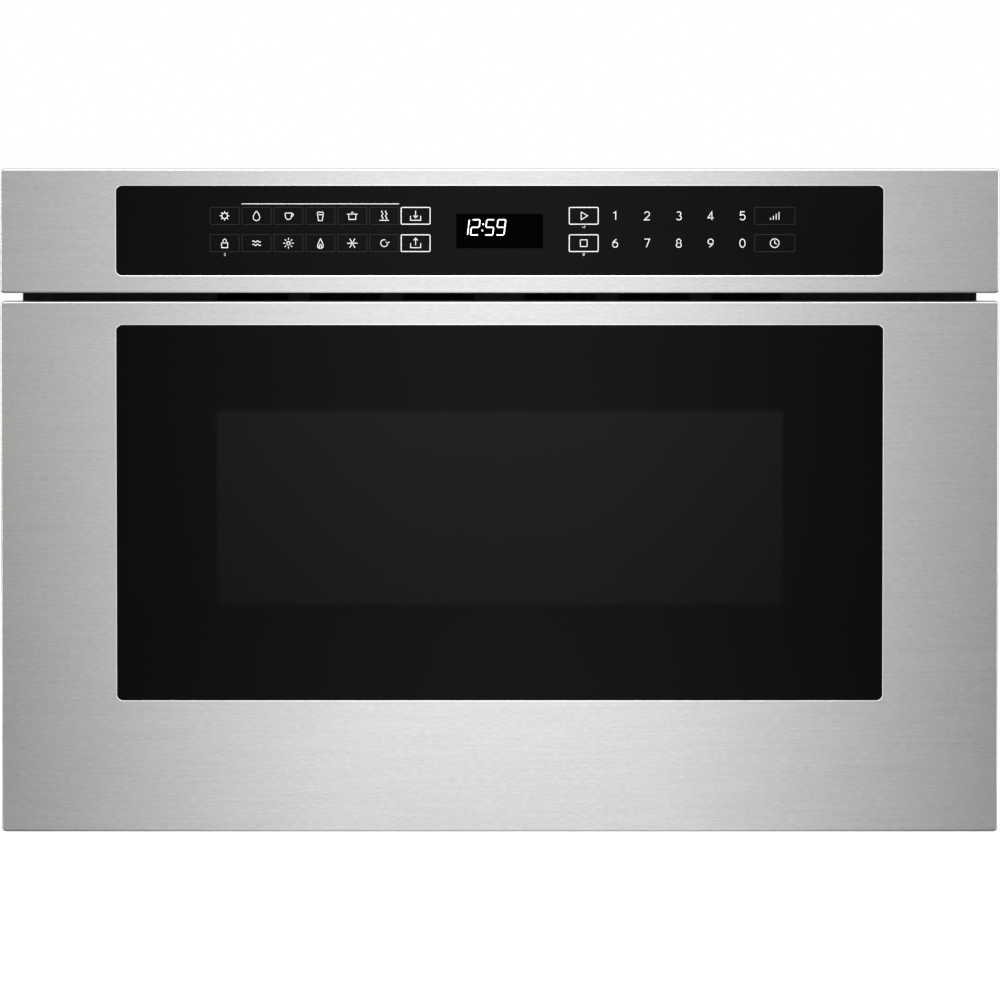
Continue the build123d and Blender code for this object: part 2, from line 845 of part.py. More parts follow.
def slide_middle():
    """Middle member: runs on the outer balls, carries the inner balls, with access holes and a stop tab."""
    flange = middle_race - half_sheet
    web = middle_web + half_sheet
    tip = slide_thickness - slide_sheet
    section = slide_section([(tip, flange), (web, flange), (web, -flange), (tip, -flange)])
    end = slide_front + slide_middle_length
    member = front_prism(section, slide_front, end) + stop_tab(web, tip, end)
    web_x = slide_outboard - web
    for along in spread(slide_holes, slide_hole_pitch):
        y = slide_front + slide_middle_length / 2 + along
        member -= rod_x(web_x - slide_sheet, web_x + slide_sheet, y, slide_centre, slide_hole_radius)
    return member


def stop_tab(web, tip, end):
    """Tab bent inwards from a slide member's web at its rear end."""
    half = slide_stop_width / 2
    return block(
        slide_outboard - tip, slide_outboard - web, end - slide_sheet, end,
        slide_centre - half, slide_centre + half,
    )


def slide_inner():
    """Inner member: its web carries the door bracket's arm."""
    flange = inner_race - half_sheet
    web = slide_thickness - half_sheet
    tip = inner_cage_web + cage_sheet + running_gap
    section = slide_section([(tip, flange), (web, flange), (web, -flange), (tip, -flange)])
    return front_prism(section, slide_front, slide_front + slide_inner_length)


def cage_with_balls(web, row, depth, start):
    """Retainer strip and its balls, as separate solids."""
    tip = depth + cage_reach
    middle = web + cage_sheet / 2
    path = FilletPolyline(
        *[(slide_outboard - u, slide_centre + v)
          for u, v in ((tip, row), (middle, row), (middle, -row), (tip, -row))],
        radius=slide_bend_radius,
    )
    strip = front_prism(trace(path, cage_sheet), start, start + cage_length)
    balls = []
    x = slide_outboard - depth
    for z in (slide_centre - row, slide_centre + row):
        for i in range(balls_per_row):
            y = start + cage_length / 2 + (i - (balls_per_row - 1) / 2) * ball_pitch
            strip -= rod_z(x, y, z - cage_sheet, z + cage_sheet, ball_diameter / 2 + ball_clearance)
            balls.append(Pos(x, y, z) * Sphere(ball_diameter / 2))
    return gathered([strip] + balls)


def outer_cage_start():
    """The outer cage stays inside both members over the whole travel."""
    back_limit = slide_front + slide_middle_length - drawer_travel / 2 + drawer_travel / 4 - cage_length
    front_limit = slide_front + drawer_travel / 4
    return (back_limit + front_limit) / 2


def inner_cage_start():
    """The inner cage stays inside the middle and the inner member over the whole travel."""
    moved = drawer_travel * 3 / 4
    front_limit = slide_front - drawer_travel / 2 + moved
    back_limit = slide_front + slide_inner_length - drawer_travel + moved - cage_length
    return (back_limit + front_limit) / 2


def outer_ball_cage():
    return cage_with_balls(outer_cage_web, outer_ball_row, outer_ball_depth, outer_cage_start())


def inner_ball_cage():
    return cage_with_balls(inner_cage_web, inner_ball_row, inner_ball_depth, inner_cage_start())


def slide_supports():
    """Brackets that stand on the base pan and carry the outer members."""
    end = slide_front + slide_length
    foot_front = frame_lip_end + running_gap
    wall_low = base_top + frame_sheet + running_gap
    bracket = block(
        slide_outboard, slide_outboard + bracket_sheet, slide_front, end,
        wall_low, slide_centre + slide_height / 2,
    )
    bracket += block(
        slide_outboard, slide_outboard + support_foot, foot_front, end,
        base_top, base_top + bracket_sheet,
    )
    bracket -= block(
        slide_outboard - overcut, slide_outboard + support_foot + overcut,
        slide_front - overcut, foot_front, base_top, wall_low,
    )
    return gathered([bracket, mirrored(bracket)])


# ================================================================ rack and pinion
def drive_rack():
    """Rack with its teeth downwards and a foot on the door frame."""
    slope = math.tan(math.radians(pressure_angle))
    dedendum = gear_module + gear_root_clearance
    half_thickness = gear_pitch / 4 - gear_backlash / 4
    length = drawer_travel + (pinion_y - door_plate_back) + gear_pitch
    first = pinion_y - math.floor((pinion_y - frame_front) / gear_pitch) * gear_pitch
    count = int((door_plate_back + length - first) / gear_pitch)
    tip_half = half_thickness - gear_module * slope
    root_half = half_thickness + dedendum * slope
    tip_z = rack_pitch_height - gear_module
    root_z = rack_pitch_height + dedendum
    points = [(door_plate_back, rack_top), (door_plate_back, root_z)]
    for i in range(count):
        y = first + i * gear_pitch
        points += [(y - root_half, root_z), (y - tip_half, tip_z)]
        points += [(y + tip_half, tip_z), (y + root_half, root_z)]
    end = first + count * gear_pitch
    points += [(end, root_z), (end, rack_top)]
    bar = side_prism(make_face(Polyline(*points, close=True)), -rack_width / 2, rack_width / 2)
    foot = block(
        -rack_foot_size / 2, rack_foot_size / 2, door_plate_back, door_plate_back + rack_foot_sheet,
        rack_top - rack_foot_size, rack_top,
    )
    return bar + foot


def involute_point(base, angle):
    """Point of the involute of a circle of radius base, unrolled by angle."""
    return (
        base * (math.cos(angle) + angle * math.sin(angle)),
        base * (math.sin(angle) - angle * math.cos(angle)),
    )


def pinion_outline():
    """Involute gear outline with a tooth space straight up."""
    base = pinion_radius * math.cos(math.radians(pressure_angle))
    tip = pinion_radius + gear_module
    root = pinion_radius - gear_module - gear_root_clearance
    tip_unroll = math.sqrt((tip / base) ** 2 - 1)
    involute_at_pitch = math.tan(math.radians(pressure_angle)) - math.radians(pressure_angle)
    half_thickness = (gear_pitch / 2 - gear_backlash / 2) / (2 * pinion_radius)
    flank_turn = half_thickness + involute_at_pitch
    step = 2 * math.pi / pinion_teeth

    def turned(point, angle):
        x, y = point
        return (x * math.cos(angle) - y * math.sin(angle), x * math.sin(angle) + y * math.cos(angle))

    flank = [involute_point(base, tip_unroll * k / 2) for k in range(3)]
    right = [turned(p, -flank_turn) for p in flank]
    left = [(x, -y) for x, y in reversed(right)]
    right_foot = turned((root - running_gap, 0), -flank_turn)
    left_foot = (right_foot[0], -right_foot[1])
    tooth = make_face([
        Line(right_foot, right[0]),
        ThreePointArc(*right),
        ThreePointArc(right[-1], (tip, 0), left[0]),
        ThreePointArc(*left),
        Line(left[-1], left_foot),
        Line(left_foot, right_foot),
    ])
    outline = Sketch() + Circle(root)
    for i in range(pinion_teeth):
        outline += Rot(0, 0, math.degrees(math.pi / 2 + step / 2 + i * step)) * tooth
    return outline


def drive_pinion():
    """Pinion with its axle, turning in the gearbox."""
    half = pinion_width / 2
    place = Plane(origin=(-half, pinion_y, pinion_height), x_dir=(0, 1, 0), z_dir=(1, 0, 0))
    gear = extrude(place * pinion_outline(), amount=pinion_width)
    shaft_end = half + running_gap + gearbox_width / 2
    return gear + rod_x(-half - shaft_stub, shaft_end, pinion_y, pinion_height, shaft_radius)


def drive_motor():
    """Gear motor: gearbox with the axle's bore, motor can behind it and a foot on the base pan."""
    x0 = pinion_width / 2 + running_gap
    x1 = x0 + gearbox_width
    low = pinion_height - gearbox_height / 2
    y0 = pinion_y - axle_to_gearbox_front
    y1 = y0 + gearbox_length
    outline = rounded_between(y0, y1, low, low + gearbox_height, gearbox_corner_radius)
    gearbox = side_prism(outline, x0, x1)
    bore_end = x0 + gearbox_width / 2 + overcut
    gearbox -= rod_x(x0 - overcut, bore_end, pinion_y, pinion_height, shaft_radius + bearing_clearance)
    can_y = pinion_y + drive_motor_offset
    can_end = x1 + drive_motor_length
    can = rod_x(x1, can_end, can_y, pinion_height, drive_motor_diameter / 2)
    can += rod_x(can_end, can_end + motor_boss_length, can_y, pinion_height, motor_boss_radius)
    return gearbox + can + block(x0, x1, y0, y1, base_top, low)


def rack_guide():
    """Folded strap over the rack that keeps it in mesh."""
    top = rack_top + running_gap + guide_sheet / 2
    inner = rack_width / 2 + running_gap + guide_sheet / 2
    outer = inner + guide_side_room
    path = Polyline(
        (-outer - guide_foot_length, base_top + guide_sheet / 2), (-outer, base_top + guide_sheet / 2),
        (-outer, top), (inner, top),
    )
    return front_prism(
        trace(path, guide_sheet), pinion_y - guide_length / 2, pinion_y + guide_length / 2
    )


# ================================================================ chassis
def front_frame():
    """Plate with the cavity's mouth, slide slots, rack slot, latch slots and vent window."""
    outline = rounded_between(-inner_half, inner_half, base_top, cover_inside_top, frame_corner_radius)
    plate = front_prism(outline, frame_front, frame_back)
    cuts = cavity_outline()
    slot_half = middle_race + slot_clearance
    slot = rectangle_between(
        bracket_inboard - slot_clearance, slide_outboard - slide_sheet + running_gap,
        slide_centre - slot_half, slide_centre + slot_half,
    )
    latch_slot = Pos(slide_middle_x, hook_height) * Rectangle(latch_slot_width, latch_slot_height)
    cuts += slot + latch_slot + mirrored(slot) + mirrored(latch_slot)
    rack_low = rack_pitch_height - gear_module - slot_clearance
    cuts += rectangle_between(
        -rack_width / 2 - slot_clearance, rack_width / 2 + slot_clearance,
        rack_low, rack_top + slot_clearance,
    )
    cuts += Pos(0, vent_strip_middle) * Rectangle(2 * vent_half, vent_opening_height)
    plate -= front_prism(cuts, frame_front - overcut, frame_back + overcut)
    lip = front_prism(outline - offset(outline, -frame_sheet), frame_back, frame_lip_end)
    return plate + lip


def mounting_flange():
    """Right-hand post: spot-weld tabs, raised crown and the flange screwed to the cabinet."""
    half = post_sheet / 2
    back = cabinet_face - half
    crown = post_crown_front + half
    path = Polyline(
        (post_inner_half - post_tab_width, back),
        (post_inner_half + half, back),
        (post_inner_half + half, crown),
        (post_inner_half + post_crown_width - half, crown),
        (post_inner_half + post_crown_width - half, back),
        (flange_edge, back),
    )
    post = plan_prism(trace(path, post_sheet), post_bottom, post_top)
    span = (vent_strip_bottom - post_bottom) / post_tabs
    for i in range(post_tabs):
        low = post_bottom + i * span + post_tab_height
        high = post_bottom + (i + 1) * span if i < post_tabs - 1 else post_top + overcut
        post -= block(
            post_inner_half - post_tab_width - overcut, post_inner_half,
            cabinet_face - 2 * post_sheet, cabinet_face + overcut, low, high,
        )
    for z in (flange_hole_low, flange_hole_high):
        post -= rod_y(
            flange_edge - flange_hole_offset, cabinet_face - 2 * post_sheet, cabinet_face + overcut,
            z, flange_hole_diameter / 2,
        )
    return post


def front_vent_strip():
    """Black channel between the posts with six tapered openings."""
    half = post_inner_half - vent_strip_end_gap
    path = Polyline(
        (cabinet_face, vent_strip_bottom + vent_strip_sheet / 2),
        (post_crown_front + vent_strip_sheet / 2, vent_strip_bottom + vent_strip_sheet / 2),
        (post_crown_front + vent_strip_sheet / 2, vent_strip_top - vent_strip_sheet / 2),
        (cabinet_face, vent_strip_top - vent_strip_sheet / 2),
    )
    strip = side_prism(trace(path, vent_strip_sheet), -half, half)
    low = vent_strip_middle - vent_opening_height / 2
    high = vent_strip_middle + vent_opening_height / 2
    for side in (-1, 1):
        for i in range(vent_openings_per_side):
            x = side * (vent_centre_land / 2 + vent_opening_width / 2 + i * vent_opening_pitch)
            hole = Polyline(
                (x - vent_opening_foot / 2, low), (x + vent_opening_foot / 2, low),
                (x + vent_opening_width / 2, high), (x - vent_opening_width / 2, high), close=True,
            )
            strip -= front_prism(
                make_face(hole), post_crown_front - overcut, post_crown_front + vent_strip_sheet + overcut
            )
    return strip


def base_pan():
    """Floor of the chassis with upturned side and rear flanges and two fields of air slots."""
    half = base_sheet / 2
    path = Polyline(
        (-inner_half + half, base_top + base_flange), (-inner_half + half, chassis_bottom + half),
        (inner_half - half, chassis_bottom + half), (inner_half - half, base_top + base_flange),
    )
    pan = front_prism(trace(path, base_sheet), frame_front, rear_inside)
    pan -= block(
        -inner_half - overcut, inner_half + overcut, frame_front - overcut, frame_lip_end,
        base_top, base_top + base_flange + overcut,
    )
    pan += block(
        -inner_half + base_sheet, inner_half - base_sheet, rear_inside - base_sheet, rear_inside,
        base_top, base_top + base_flange,
    )
    slots = Sketch()
    for x in (-chassis_half / 2, chassis_half / 2):
        for along in spread(base_slots, base_slot_pitch):
            slots += Pos(x, cavity_middle_y + along) * SlotOverall(base_slot_length, base_slot_width)
    return pan - plan_prism(slots, chassis_bottom - overcut, base_top + overcut)


def outer_cover():
    """One sheet over the top and both sides, stiffened by pressed beads."""
    middle = cover_sheet / 2
    path = FilletPolyline(
        (-chassis_half + middle, chassis_bottom), (-chassis_half + middle, chassis_top - middle),
        (chassis_half - middle, chassis_top - middle), (chassis_half - middle, chassis_bottom),
        radius=cover_sheet,
    )
    cover = front_prism(trace(path, cover_sheet), frame_front, rear_inside)
    length_middle = (frame_front + rear_inside) / 2
    lengthwise = SlotOverall(bead_length, bead_width)
    floor = bead_depth + cover_sheet
    for x in (-bead_offset, bead_offset):
        outline = Pos(x, length_middle) * (Rot(0, 0, 90) * lengthwise)
        inside = offset(outline, -cover_sheet)
        cover -= plan_prism(outline, chassis_top - floor, chassis_top + overcut)
        cover += plan_prism(outline, chassis_top - floor, chassis_top)
        cover -= plan_prism(inside, chassis_top - bead_depth, chassis_top + overcut)
    outline = Pos(length_middle, (chassis_bottom + chassis_top) / 2) * lengthwise
    inside = offset(outline, -cover_sheet)
    bead = side_prism(outline, chassis_half - floor, chassis_half)
    groove = side_prism(inside, chassis_half - bead_depth, chassis_half + overcut)
    return cover + bead + mirrored(bead) - groove - mirrored(groove)


def rear_panel():
    """Rear sheet with louvres and a pressed recess for the cord gland."""
    panel = front_prism(
        rectangle_between(-chassis_half, chassis_half, chassis_bottom, chassis_top), rear_inside, rear_y
    )
    recess = rounded_between(
        gland_offset - gland_recess_width / 2, gland_offset + gland_recess_width / 2,
        gland_height - gland_recess_height / 2, gland_height + gland_recess_height / 2,
        gland_recess_radius,
    )
    inside = offset(recess, -rear_sheet)
    floor_y = rear_y - gland_recess_depth
    panel -= front_prism(inside, rear_inside - overcut, rear_y + overcut)
    cup = front_prism(recess, floor_y - rear_sheet, rear_y)
    cup -= front_prism(inside, floor_y, rear_y + overcut)
    panel += cup
    panel -= rod_y(
        gland_offset, floor_y - rear_sheet - overcut, floor_y + overcut, gland_height, gland_body_radius
    )
    field_x = (shroud_x + inner_half) / 2
    drop = louvre_height / 2
    blade = trace(
        Polyline((rear_inside, drop + louvre_sheet / 2), (rear_inside - louvre_depth, -drop)), louvre_sheet
    )
    openings = Sketch()
    slats = []
    for across in spread(louvre_columns, louvre_width + louvre_pitch):
        x = field_x + across
        for up in spread(louvre_count, louvre_pitch):
            z = fan_axis_height + up
            openings += Pos(x, z) * Rectangle(louvre_width, louvre_height)
            slats.append(side_prism(Pos(0, z) * blade, x - louvre_width / 2, x + louvre_width / 2))
    panel -= front_prism(openings, rear_inside - overcut, rear_y + overcut)
    for slat in slats:
        panel += slat
    return panel


def cord_gland():
    """Bushing in the rear recess that a supply cord passes through."""
    floor_y = rear_y - gland_recess_depth
    body = rod_y(gland_offset, floor_y - gland_length / 2, floor_y, gland_height, gland_body_radius)
    body += rod_y(gland_offset, floor_y, floor_y + gland_flange_thickness, gland_height, gland_flange_radius)
    nut_front = floor_y - rear_sheet - gland_flange_thickness
    hexagon = Pos(gland_offset, gland_height) * RegularPolygon(gland_flange_radius, 6)
    body += front_prism(hexagon, nut_front, floor_y - rear_sheet)
    return body - rod_y(
        gland_offset, floor_y - gland_length, floor_y + gland_length, gland_height, gland_bore_radius
    )


def cavity_outline():
    """The cavity's inside, seen from the front."""
    return rounded_between(-cavity_half, cavity_half, cavity_floor, cavity_top, cavity_corner_radius)


def oven_cavity():
    """Five-sided enamelled box with a front flange and a raised stirrer recess in its roof."""
    t = cavity_sheet
    outline = cavity_outline()
    outer = front_prism(offset(outline, t), frame_back, cavity_rear + t)
    inner = front_prism(outline, frame_back - overcut, cavity_rear)
    half = recess_size / 2
    recess_plan = rounded_between(
        -half, half, cavity_middle_y - half, cavity_middle_y + half, recess_corner_radius
    )
    raised = plan_prism(offset(recess_plan, t), cavity_top, recess_roof)
    hollow = plan_prism(recess_plan, cavity_top - t, recess_roof - t)
    flange_outline = rectangle_between(
        -cavity_half - cavity_flange, cavity_half + cavity_flange,
        cavity_floor - cavity_flange, cavity_top + cavity_flange,
    )
    flange = front_prism(flange_outline - outline, frame_back, frame_back + t)
    box = outer + raised + flange - inner - hollow
    box -= rod_z(0, stirrer_y, recess_roof - t - overcut, recess_roof + overcut, stirrer_hole_radius)
    box -= plan_prism(feed_slot(), recess_roof - t - overcut, recess_roof + overcut)
    for along in spread(lamp_hole_rows, lamp_hole_pitch):
        for up in spread(lamp_hole_rows, lamp_hole_pitch):
            box -= rod_x(
                cavity_half - overcut, cavity_half + t + overcut,
                lamp_y + along, lamp_height + up, lamp_hole_radius,
            )
    return box


def feed_slot():
    """Opening between the waveguide and the stirrer recess, seen from above."""
    return Pos(0, stirrer_y + guide_front_reach) * Rectangle(feed_slot_length, feed_slot_width)


def stirrer_cover():
    half = recess_size / 2 + stirrer_cover_overlap
    outline = rounded_between(
        -half, half, cavity_middle_y - half, cavity_middle_y + half, recess_corner_radius
    )
    return plan_prism(outline, cavity_top - stirrer_cover_thickness, cavity_top)


def cavity_supports():
    """Four folded legs that carry the cavity on the base pan."""
    legs = []
    top = cavity_floor - cavity_sheet
    half_sheet_up = bracket_sheet / 2
    wall = support_span / 2
    foot = wall + support_foot_length
    for y in (frame_back + cavity_depth / 4, frame_back + cavity_depth * 3 / 4):
        path = Polyline(
            (y - foot, base_top + half_sheet_up), (y - wall, base_top + half_sheet_up),
            (y - wall, top - half_sheet_up), (y + wall, top - half_sheet_up),
            (y + wall, base_top + half_sheet_up), (y + foot, base_top + half_sheet_up),
        )
        leg = side_prism(trace(path, bracket_sheet), cavity_half / 2, cavity_half / 2 + support_width)
        legs += [leg, mirrored(leg)]
    return gathered(legs)


# ================================================================ microwave feed
def waveguide():
    """Closed rectangular duct from the magnetron to the stirrer recess."""
    half = guide_width / 2
    t = guide_wall
    y0 = stirrer_y - guide_front_reach
    y1 = magnetron_y + magnetron_depth / 2
    duct = block(-half, half, y0, y1, guide_bottom, guide_top)
    duct -= block(-half + t, half - t, y0 + t, y1 - t, guide_bottom + t, guide_top - t)
    low = guide_bottom - overcut
    high = guide_bottom + t + overcut
    duct -= rod_z(0, magnetron_y, low, high, antenna_radius + running_gap)
    duct -= plan_prism(feed_slot(), low, high)
    return duct - rod_z(0, stirrer_y, low, guide_top + overcut, stirrer_hole_radius)


def magnetron():
    """Yoke frame, magnets, finned anode, antenna and filter box."""
    half_x = magnetron_width / 2
    half_y = magnetron_depth / 2
    t = magnetron_sheet
    y = magnetron_y
    low = magnetron_bottom + t
    high = magnetron_top - t
    yoke = block(-half_x, half_x, y - half_y, y + half_y, magnetron_bottom, magnetron_top)
    yoke -= block(-half_x - overcut, half_x + overcut, y - half_y + t, y + half_y - t, low, high)
    body = yoke + rod_z(0, y, low, high, magnetron_anode_radius)
    body += rod_z(0, y, low, low + magnetron_magnet_height, magnetron_magnet_radius)
    body += rod_z(0, y, high - magnetron_magnet_height, high, magnetron_magnet_radius)
    fin_pitch = (magnetron_height - 2 * t - 2 * magnetron_magnet_height) / (fin_count + 1)
    half = fin_sheet / 2
    for up in spread(fin_count, fin_pitch):
        z = magnetron_middle + up
        body += block(-half_x, half_x, y - half_y + t, y + half_y - t, z - half, z + half)
    body += rod_z(0, y, magnetron_top, magnetron_top + antenna_height, antenna_radius)
    box_x = half_x - filter_box_inset
    box_y = half_y - filter_box_inset
    filter_low = magnetron_bottom - filter_box_height
    return body + block(-box_x, box_x, y - box_y, y + box_y, filter_low, magnetron_bottom)


def stirrer_motor():
    """Round synchronous motor with two ears on the waveguide's top."""
    motor = rod_z(0, stirrer_y, guide_top, guide_top + stirrer_motor_height, stirrer_motor_diameter / 2)
    ears = Pos(0, stirrer_y) * SlotOverall(stirrer_ear_span, stirrer_ear_width)
    motor += plan_prism(ears, guide_top, guide_top + stirrer_ear_sheet)
    bore = stirrer_shaft_radius + bearing_clearance
    return motor - rod_z(0, stirrer_y, guide_top - overcut, guide_top + stirrer_motor_height / 2, bore)


def stirrer_fan():
    """Stirrer with tilted sheet blades on a hub and a long shaft up to its motor."""
    blade_z = (cavity_top + recess_roof) / 2
    hub_low = blade_z - stirrer_hub_height / 2
    shaft_top = guide_top + stirrer_motor_height / 2 - running_gap
    fan = rod_z(0, stirrer_y, hub_low, shaft_top, stirrer_shaft_radius)
    fan += rod_z(0, stirrer_y, hub_low, hub_low + stirrer_hub_height, stirrer_hub_radius)
    blade = Pos((stirrer_blade_length + stirrer_hub_radius) / 2, 0, 0) * (
        Rot(stirrer_blade_tilt, 0, 0) * Box(stirrer_blade_length, stirrer_blade_width, stirrer_blade_sheet)
    )
    for i in range(stirrer_blade_count):
        fan += Pos(0, stirrer_y, blade_z) * (Rot(0, 0, i * 360 / stirrer_blade_count) * blade)
    return fan


# ================================================================ cooling
def fan_shroud():
    """Upright baffle with the fan's ring and a foot on the base pan."""
    y0 = compartment_front + compartment_gap
    y1 = rear_inside - compartment_gap
    ring_end = shroud_x + fan_ring_depth
    plate = block(shroud_x, shroud_x + shroud_sheet, y0, y1, base_top, shroud_top)
    plate += block(shroud_x, shroud_x + shroud_foot, y0, y1, base_top, base_top + shroud_sheet)
    plate += rod_x(shroud_x, ring_end, fan_axis_y, fan_axis_height, fan_bore_radius + shroud_sheet)
    return plate - rod_x(
        shroud_x - overcut, ring_end + overcut, fan_axis_y, fan_axis_height, fan_bore_radius
    )


def fan_blade():
    """Five-bladed axial fan pressed on its shaft."""
    x0 = shroud_x + fan_blade_setback
    x1 = x0 + fan_hub_length
    fan = rod_x(x0, x1, 0, 0, fan_hub_radius)
    fan -= rod_x(x0 + fan_hub_wall, x1 + overcut, 0, 0, fan_hub_radius - fan_hub_wall)
    fan += rod_x(x0, x1, 0, 0, fan_shaft_radius + fan_hub_wall)
    fan += rod_x(x0, fan_motor_face + fan_motor_thickness / 2, 0, 0, fan_shaft_radius)

    def section(radius, chord, pitch):
        turn = math.radians(pitch)
        end_y = chord / 2 * math.cos(turn)
        end_x = chord / 2 * math.sin(turn)
        bow = chord * fan_camber
        arc = ThreePointArc(
            (-end_y, -end_x), (-bow * math.sin(turn), bow * math.cos(turn)), (end_y, end_x)
        )
        plane = Plane(origin=((x0 + x1) / 2, 0, radius), x_dir=(0, 1, 0), z_dir=(0, 0, 1))
        return plane * trace(arc, fan_blade_sheet)

    blade = loft([
        section(fan_hub_radius - fan_hub_wall / 2, fan_root_chord, fan_root_pitch),
        section(fan_bore_radius - fan_tip_clearance, fan_tip_chord, fan_tip_pitch),
    ])
    for i in range(fan_blade_count):
        fan += Rot(i * 360 / fan_blade_count, 0, 0) * blade
    return Pos(0, fan_axis_y, fan_axis_height) * fan


def fan_motor():
    """Shaded-pole motor: laminated square stator, round coil, bearing bridge and two arms on the ring."""
    x0 = fan_motor_face
    x1 = x0 + fan_motor_thickness
    half = fan_motor_width / 2
    axis = Pos(fan_axis_y, fan_axis_height)
    stator = RectangleRounded(fan_motor_width, fan_motor_width, stator_corner_radius)
    motor = side_prism(axis * stator, x0, x1)
    coil_top = fan_axis_height - half + overcut
    motor += rod_z((x0 + x1) / 2, fan_axis_y, coil_top - overcut - fan_coil_drop, coil_top, fan_coil_radius)
    bridge = SlotOverall(fan_motor_width, bearing_bridge_width)
    motor += side_prism(axis * bridge, x1, x1 + bearing_bridge_thickness)
    low = fan_axis_height - motor_arm_width / 2
    high = fan_axis_height + motor_arm_width / 2
    for side in (-1, 1):
        y = fan_axis_y + side * (fan_bore_radius + shroud_sheet / 2)
        inner = fan_axis_y + side * (half - overcut)
        motor += block(x0, x0 + motor_arm_sheet, min(y, inner), max(y, inner), low, high)
        motor += block(
            shroud_x + fan_ring_depth, x0 + motor_arm_sheet,
            y - shroud_sheet / 2, y + shroud_sheet / 2, low, high,
        )
    bore_end = (x0 + x1) / 2 + running_gap
    return motor - rod_x(
        x0 - overcut, bore_end, fan_axis_y, fan_axis_height, fan_shaft_radius + bearing_clearance
    )


def air_duct():
    """Tapered duct from the fan to the magnetron's fins."""
    near = magnetron_width / 2 + running_gap
    t = duct_sheet
    fan_side = 2 * (fan_bore_radius + shroud_sheet)
    fin_side = magnetron_height - running_gap

    def section(x, z, wide, tall):
        plane = Plane(origin=(x, magnetron_y, z), x_dir=(0, 1, 0), z_dir=(1, 0, 0))
        return plane * Rectangle(wide, tall)

    outer = loft([
        section(near, magnetron_middle, magnetron_depth, fin_side),
        section(shroud_x, fan_axis_height, fan_side, fan_side),
    ], ruled=True)
    inner = loft([
        section(near, magnetron_middle, magnetron_depth - 2 * t, fin_side - 2 * t),
        section(shroud_x, fan_axis_height, fan_side - 2 * t, fan_side - 2 * t),
    ], ruled=True)
    return outer - inner


def exhaust_duct():
    """Duct from the magnetron's far side up over the cavity's roof to the front vents."""
    t = duct_sheet
    plenum_half = vent_half + t
    arm_out = -plenum_half
    arm_in = -recess_size / 2 - 2 * t
    near = -magnetron_width / 2 - running_gap
    front = frame_back + running_gap
    plenum_back = front + exhaust_plenum_depth
    riser_front = compartment_front + compartment_gap
    riser_back = magnetron_y + magnetron_depth / 2
    top = vent_strip_top + t
    outline = Polyline(
        (-plenum_half, front), (plenum_half, front), (plenum_half, plenum_back),
        (arm_in, plenum_back), (arm_in, riser_front), (arm_out, riser_front), close=True,
    )
    inner_outline = Polyline(
        (-plenum_half + t, front - overcut), (plenum_half - t, front - overcut),
        (plenum_half - t, plenum_back - t), (arm_in - t, plenum_back - t),
        (arm_in - t, riser_front + 2 * t), (arm_out + t, riser_front + 2 * t), close=True,
    )
    outer = plan_prism(make_face(outline), cavity_roof, top)
    outer += block(arm_out, arm_in, riser_front, riser_back, magnetron_bottom, top)
    outer += block(arm_in, near, riser_front, riser_back, magnetron_bottom, magnetron_top)
    inner = plan_prism(make_face(inner_outline), cavity_roof - overcut, top - t)
    inner -= block(
        arm_out, arm_in, compartment_front, riser_front + 2 * t, cavity_roof - 2 * overcut, cavity_roof
    )
    inner += block(
        arm_out + t, arm_in - t, riser_front + t, riser_back - t, magnetron_bottom + t, top - t
    )
    inner += block(
        arm_in - 2 * t, near + overcut, riser_front + t, riser_back - t,
        magnetron_bottom + t, magnetron_top - t,
    )
    flange = block(
        -cavity_half - cavity_flange, cavity_half + cavity_flange,
        frame_back, frame_back + cavity_sheet + running_gap,
        cavity_roof - overcut, cavity_top + cavity_flange + running_gap,
    )
    return outer - inner - flange


# ================================================================ electrical parts
def high_voltage_transformer():
    """Laminated core with two coils on the middle limb and a footed base."""
    x = transformer_x
    y = compartment_middle
    half_w = transformer_width / 2
    half_s = transformer_stack / 2
    z0 = base_top + transformer_foot
    z1 = z0 + transformer_height
    limb = transformer_limb / 2
    window = half_w - transformer_yoke - limb
    window_low = z0 + transformer_yoke
    window_high = z1 - transformer_yoke
    core = block(x - half_w, x + half_w, y - half_s, y + half_s, z0, z1)
    for side in (-1, 1):
        middle = x + side * (limb + window / 2)
        core -= block(
            middle - window / 2, middle + window / 2,
            y - half_s - overcut, y + half_s + overcut, window_low, window_high,
        )
    reach = window - coil_clearance
    coil_plan = Pos(x, y) * (
        RectangleRounded(2 * (limb + reach), 2 * (half_s + reach), window / 2)
        - Rectangle(2 * limb, 2 * half_s)
    )
    split = (window_low + window_high) / 2
    coils = plan_prism(coil_plan, window_low + coil_clearance, split - coil_gap / 2)
    coils += plan_prism(coil_plan, split + coil_gap / 2, window_high - coil_clearance)
    wing = half_w + transformer_wing
    return core + coils + block(x - wing, x + wing, y - half_s, y + half_s, base_top, z0)


def high_voltage_capacitor():
    """Oval can in a clamp band with two blade terminals."""
    y = compartment_middle
    top = base_top + capacitor_height
    band_low = base_top + clamp_band_rise
    oval = Pos(capacitor_x, y) * SlotOverall(capacitor_width, capacitor_thickness)
    can = plan_prism(oval, base_top, top)
    can += plan_prism(offset(oval, clamp_band_sheet), band_low, band_low + clamp_band_height)
    for across in spread(2, terminal_spacing):
        x = capacitor_x + across
        can += block(
            x - terminal_sheet / 2, x + terminal_sheet / 2,
            y - terminal_width / 2, y + terminal_width / 2, top, top + terminal_height,
        )
    return can


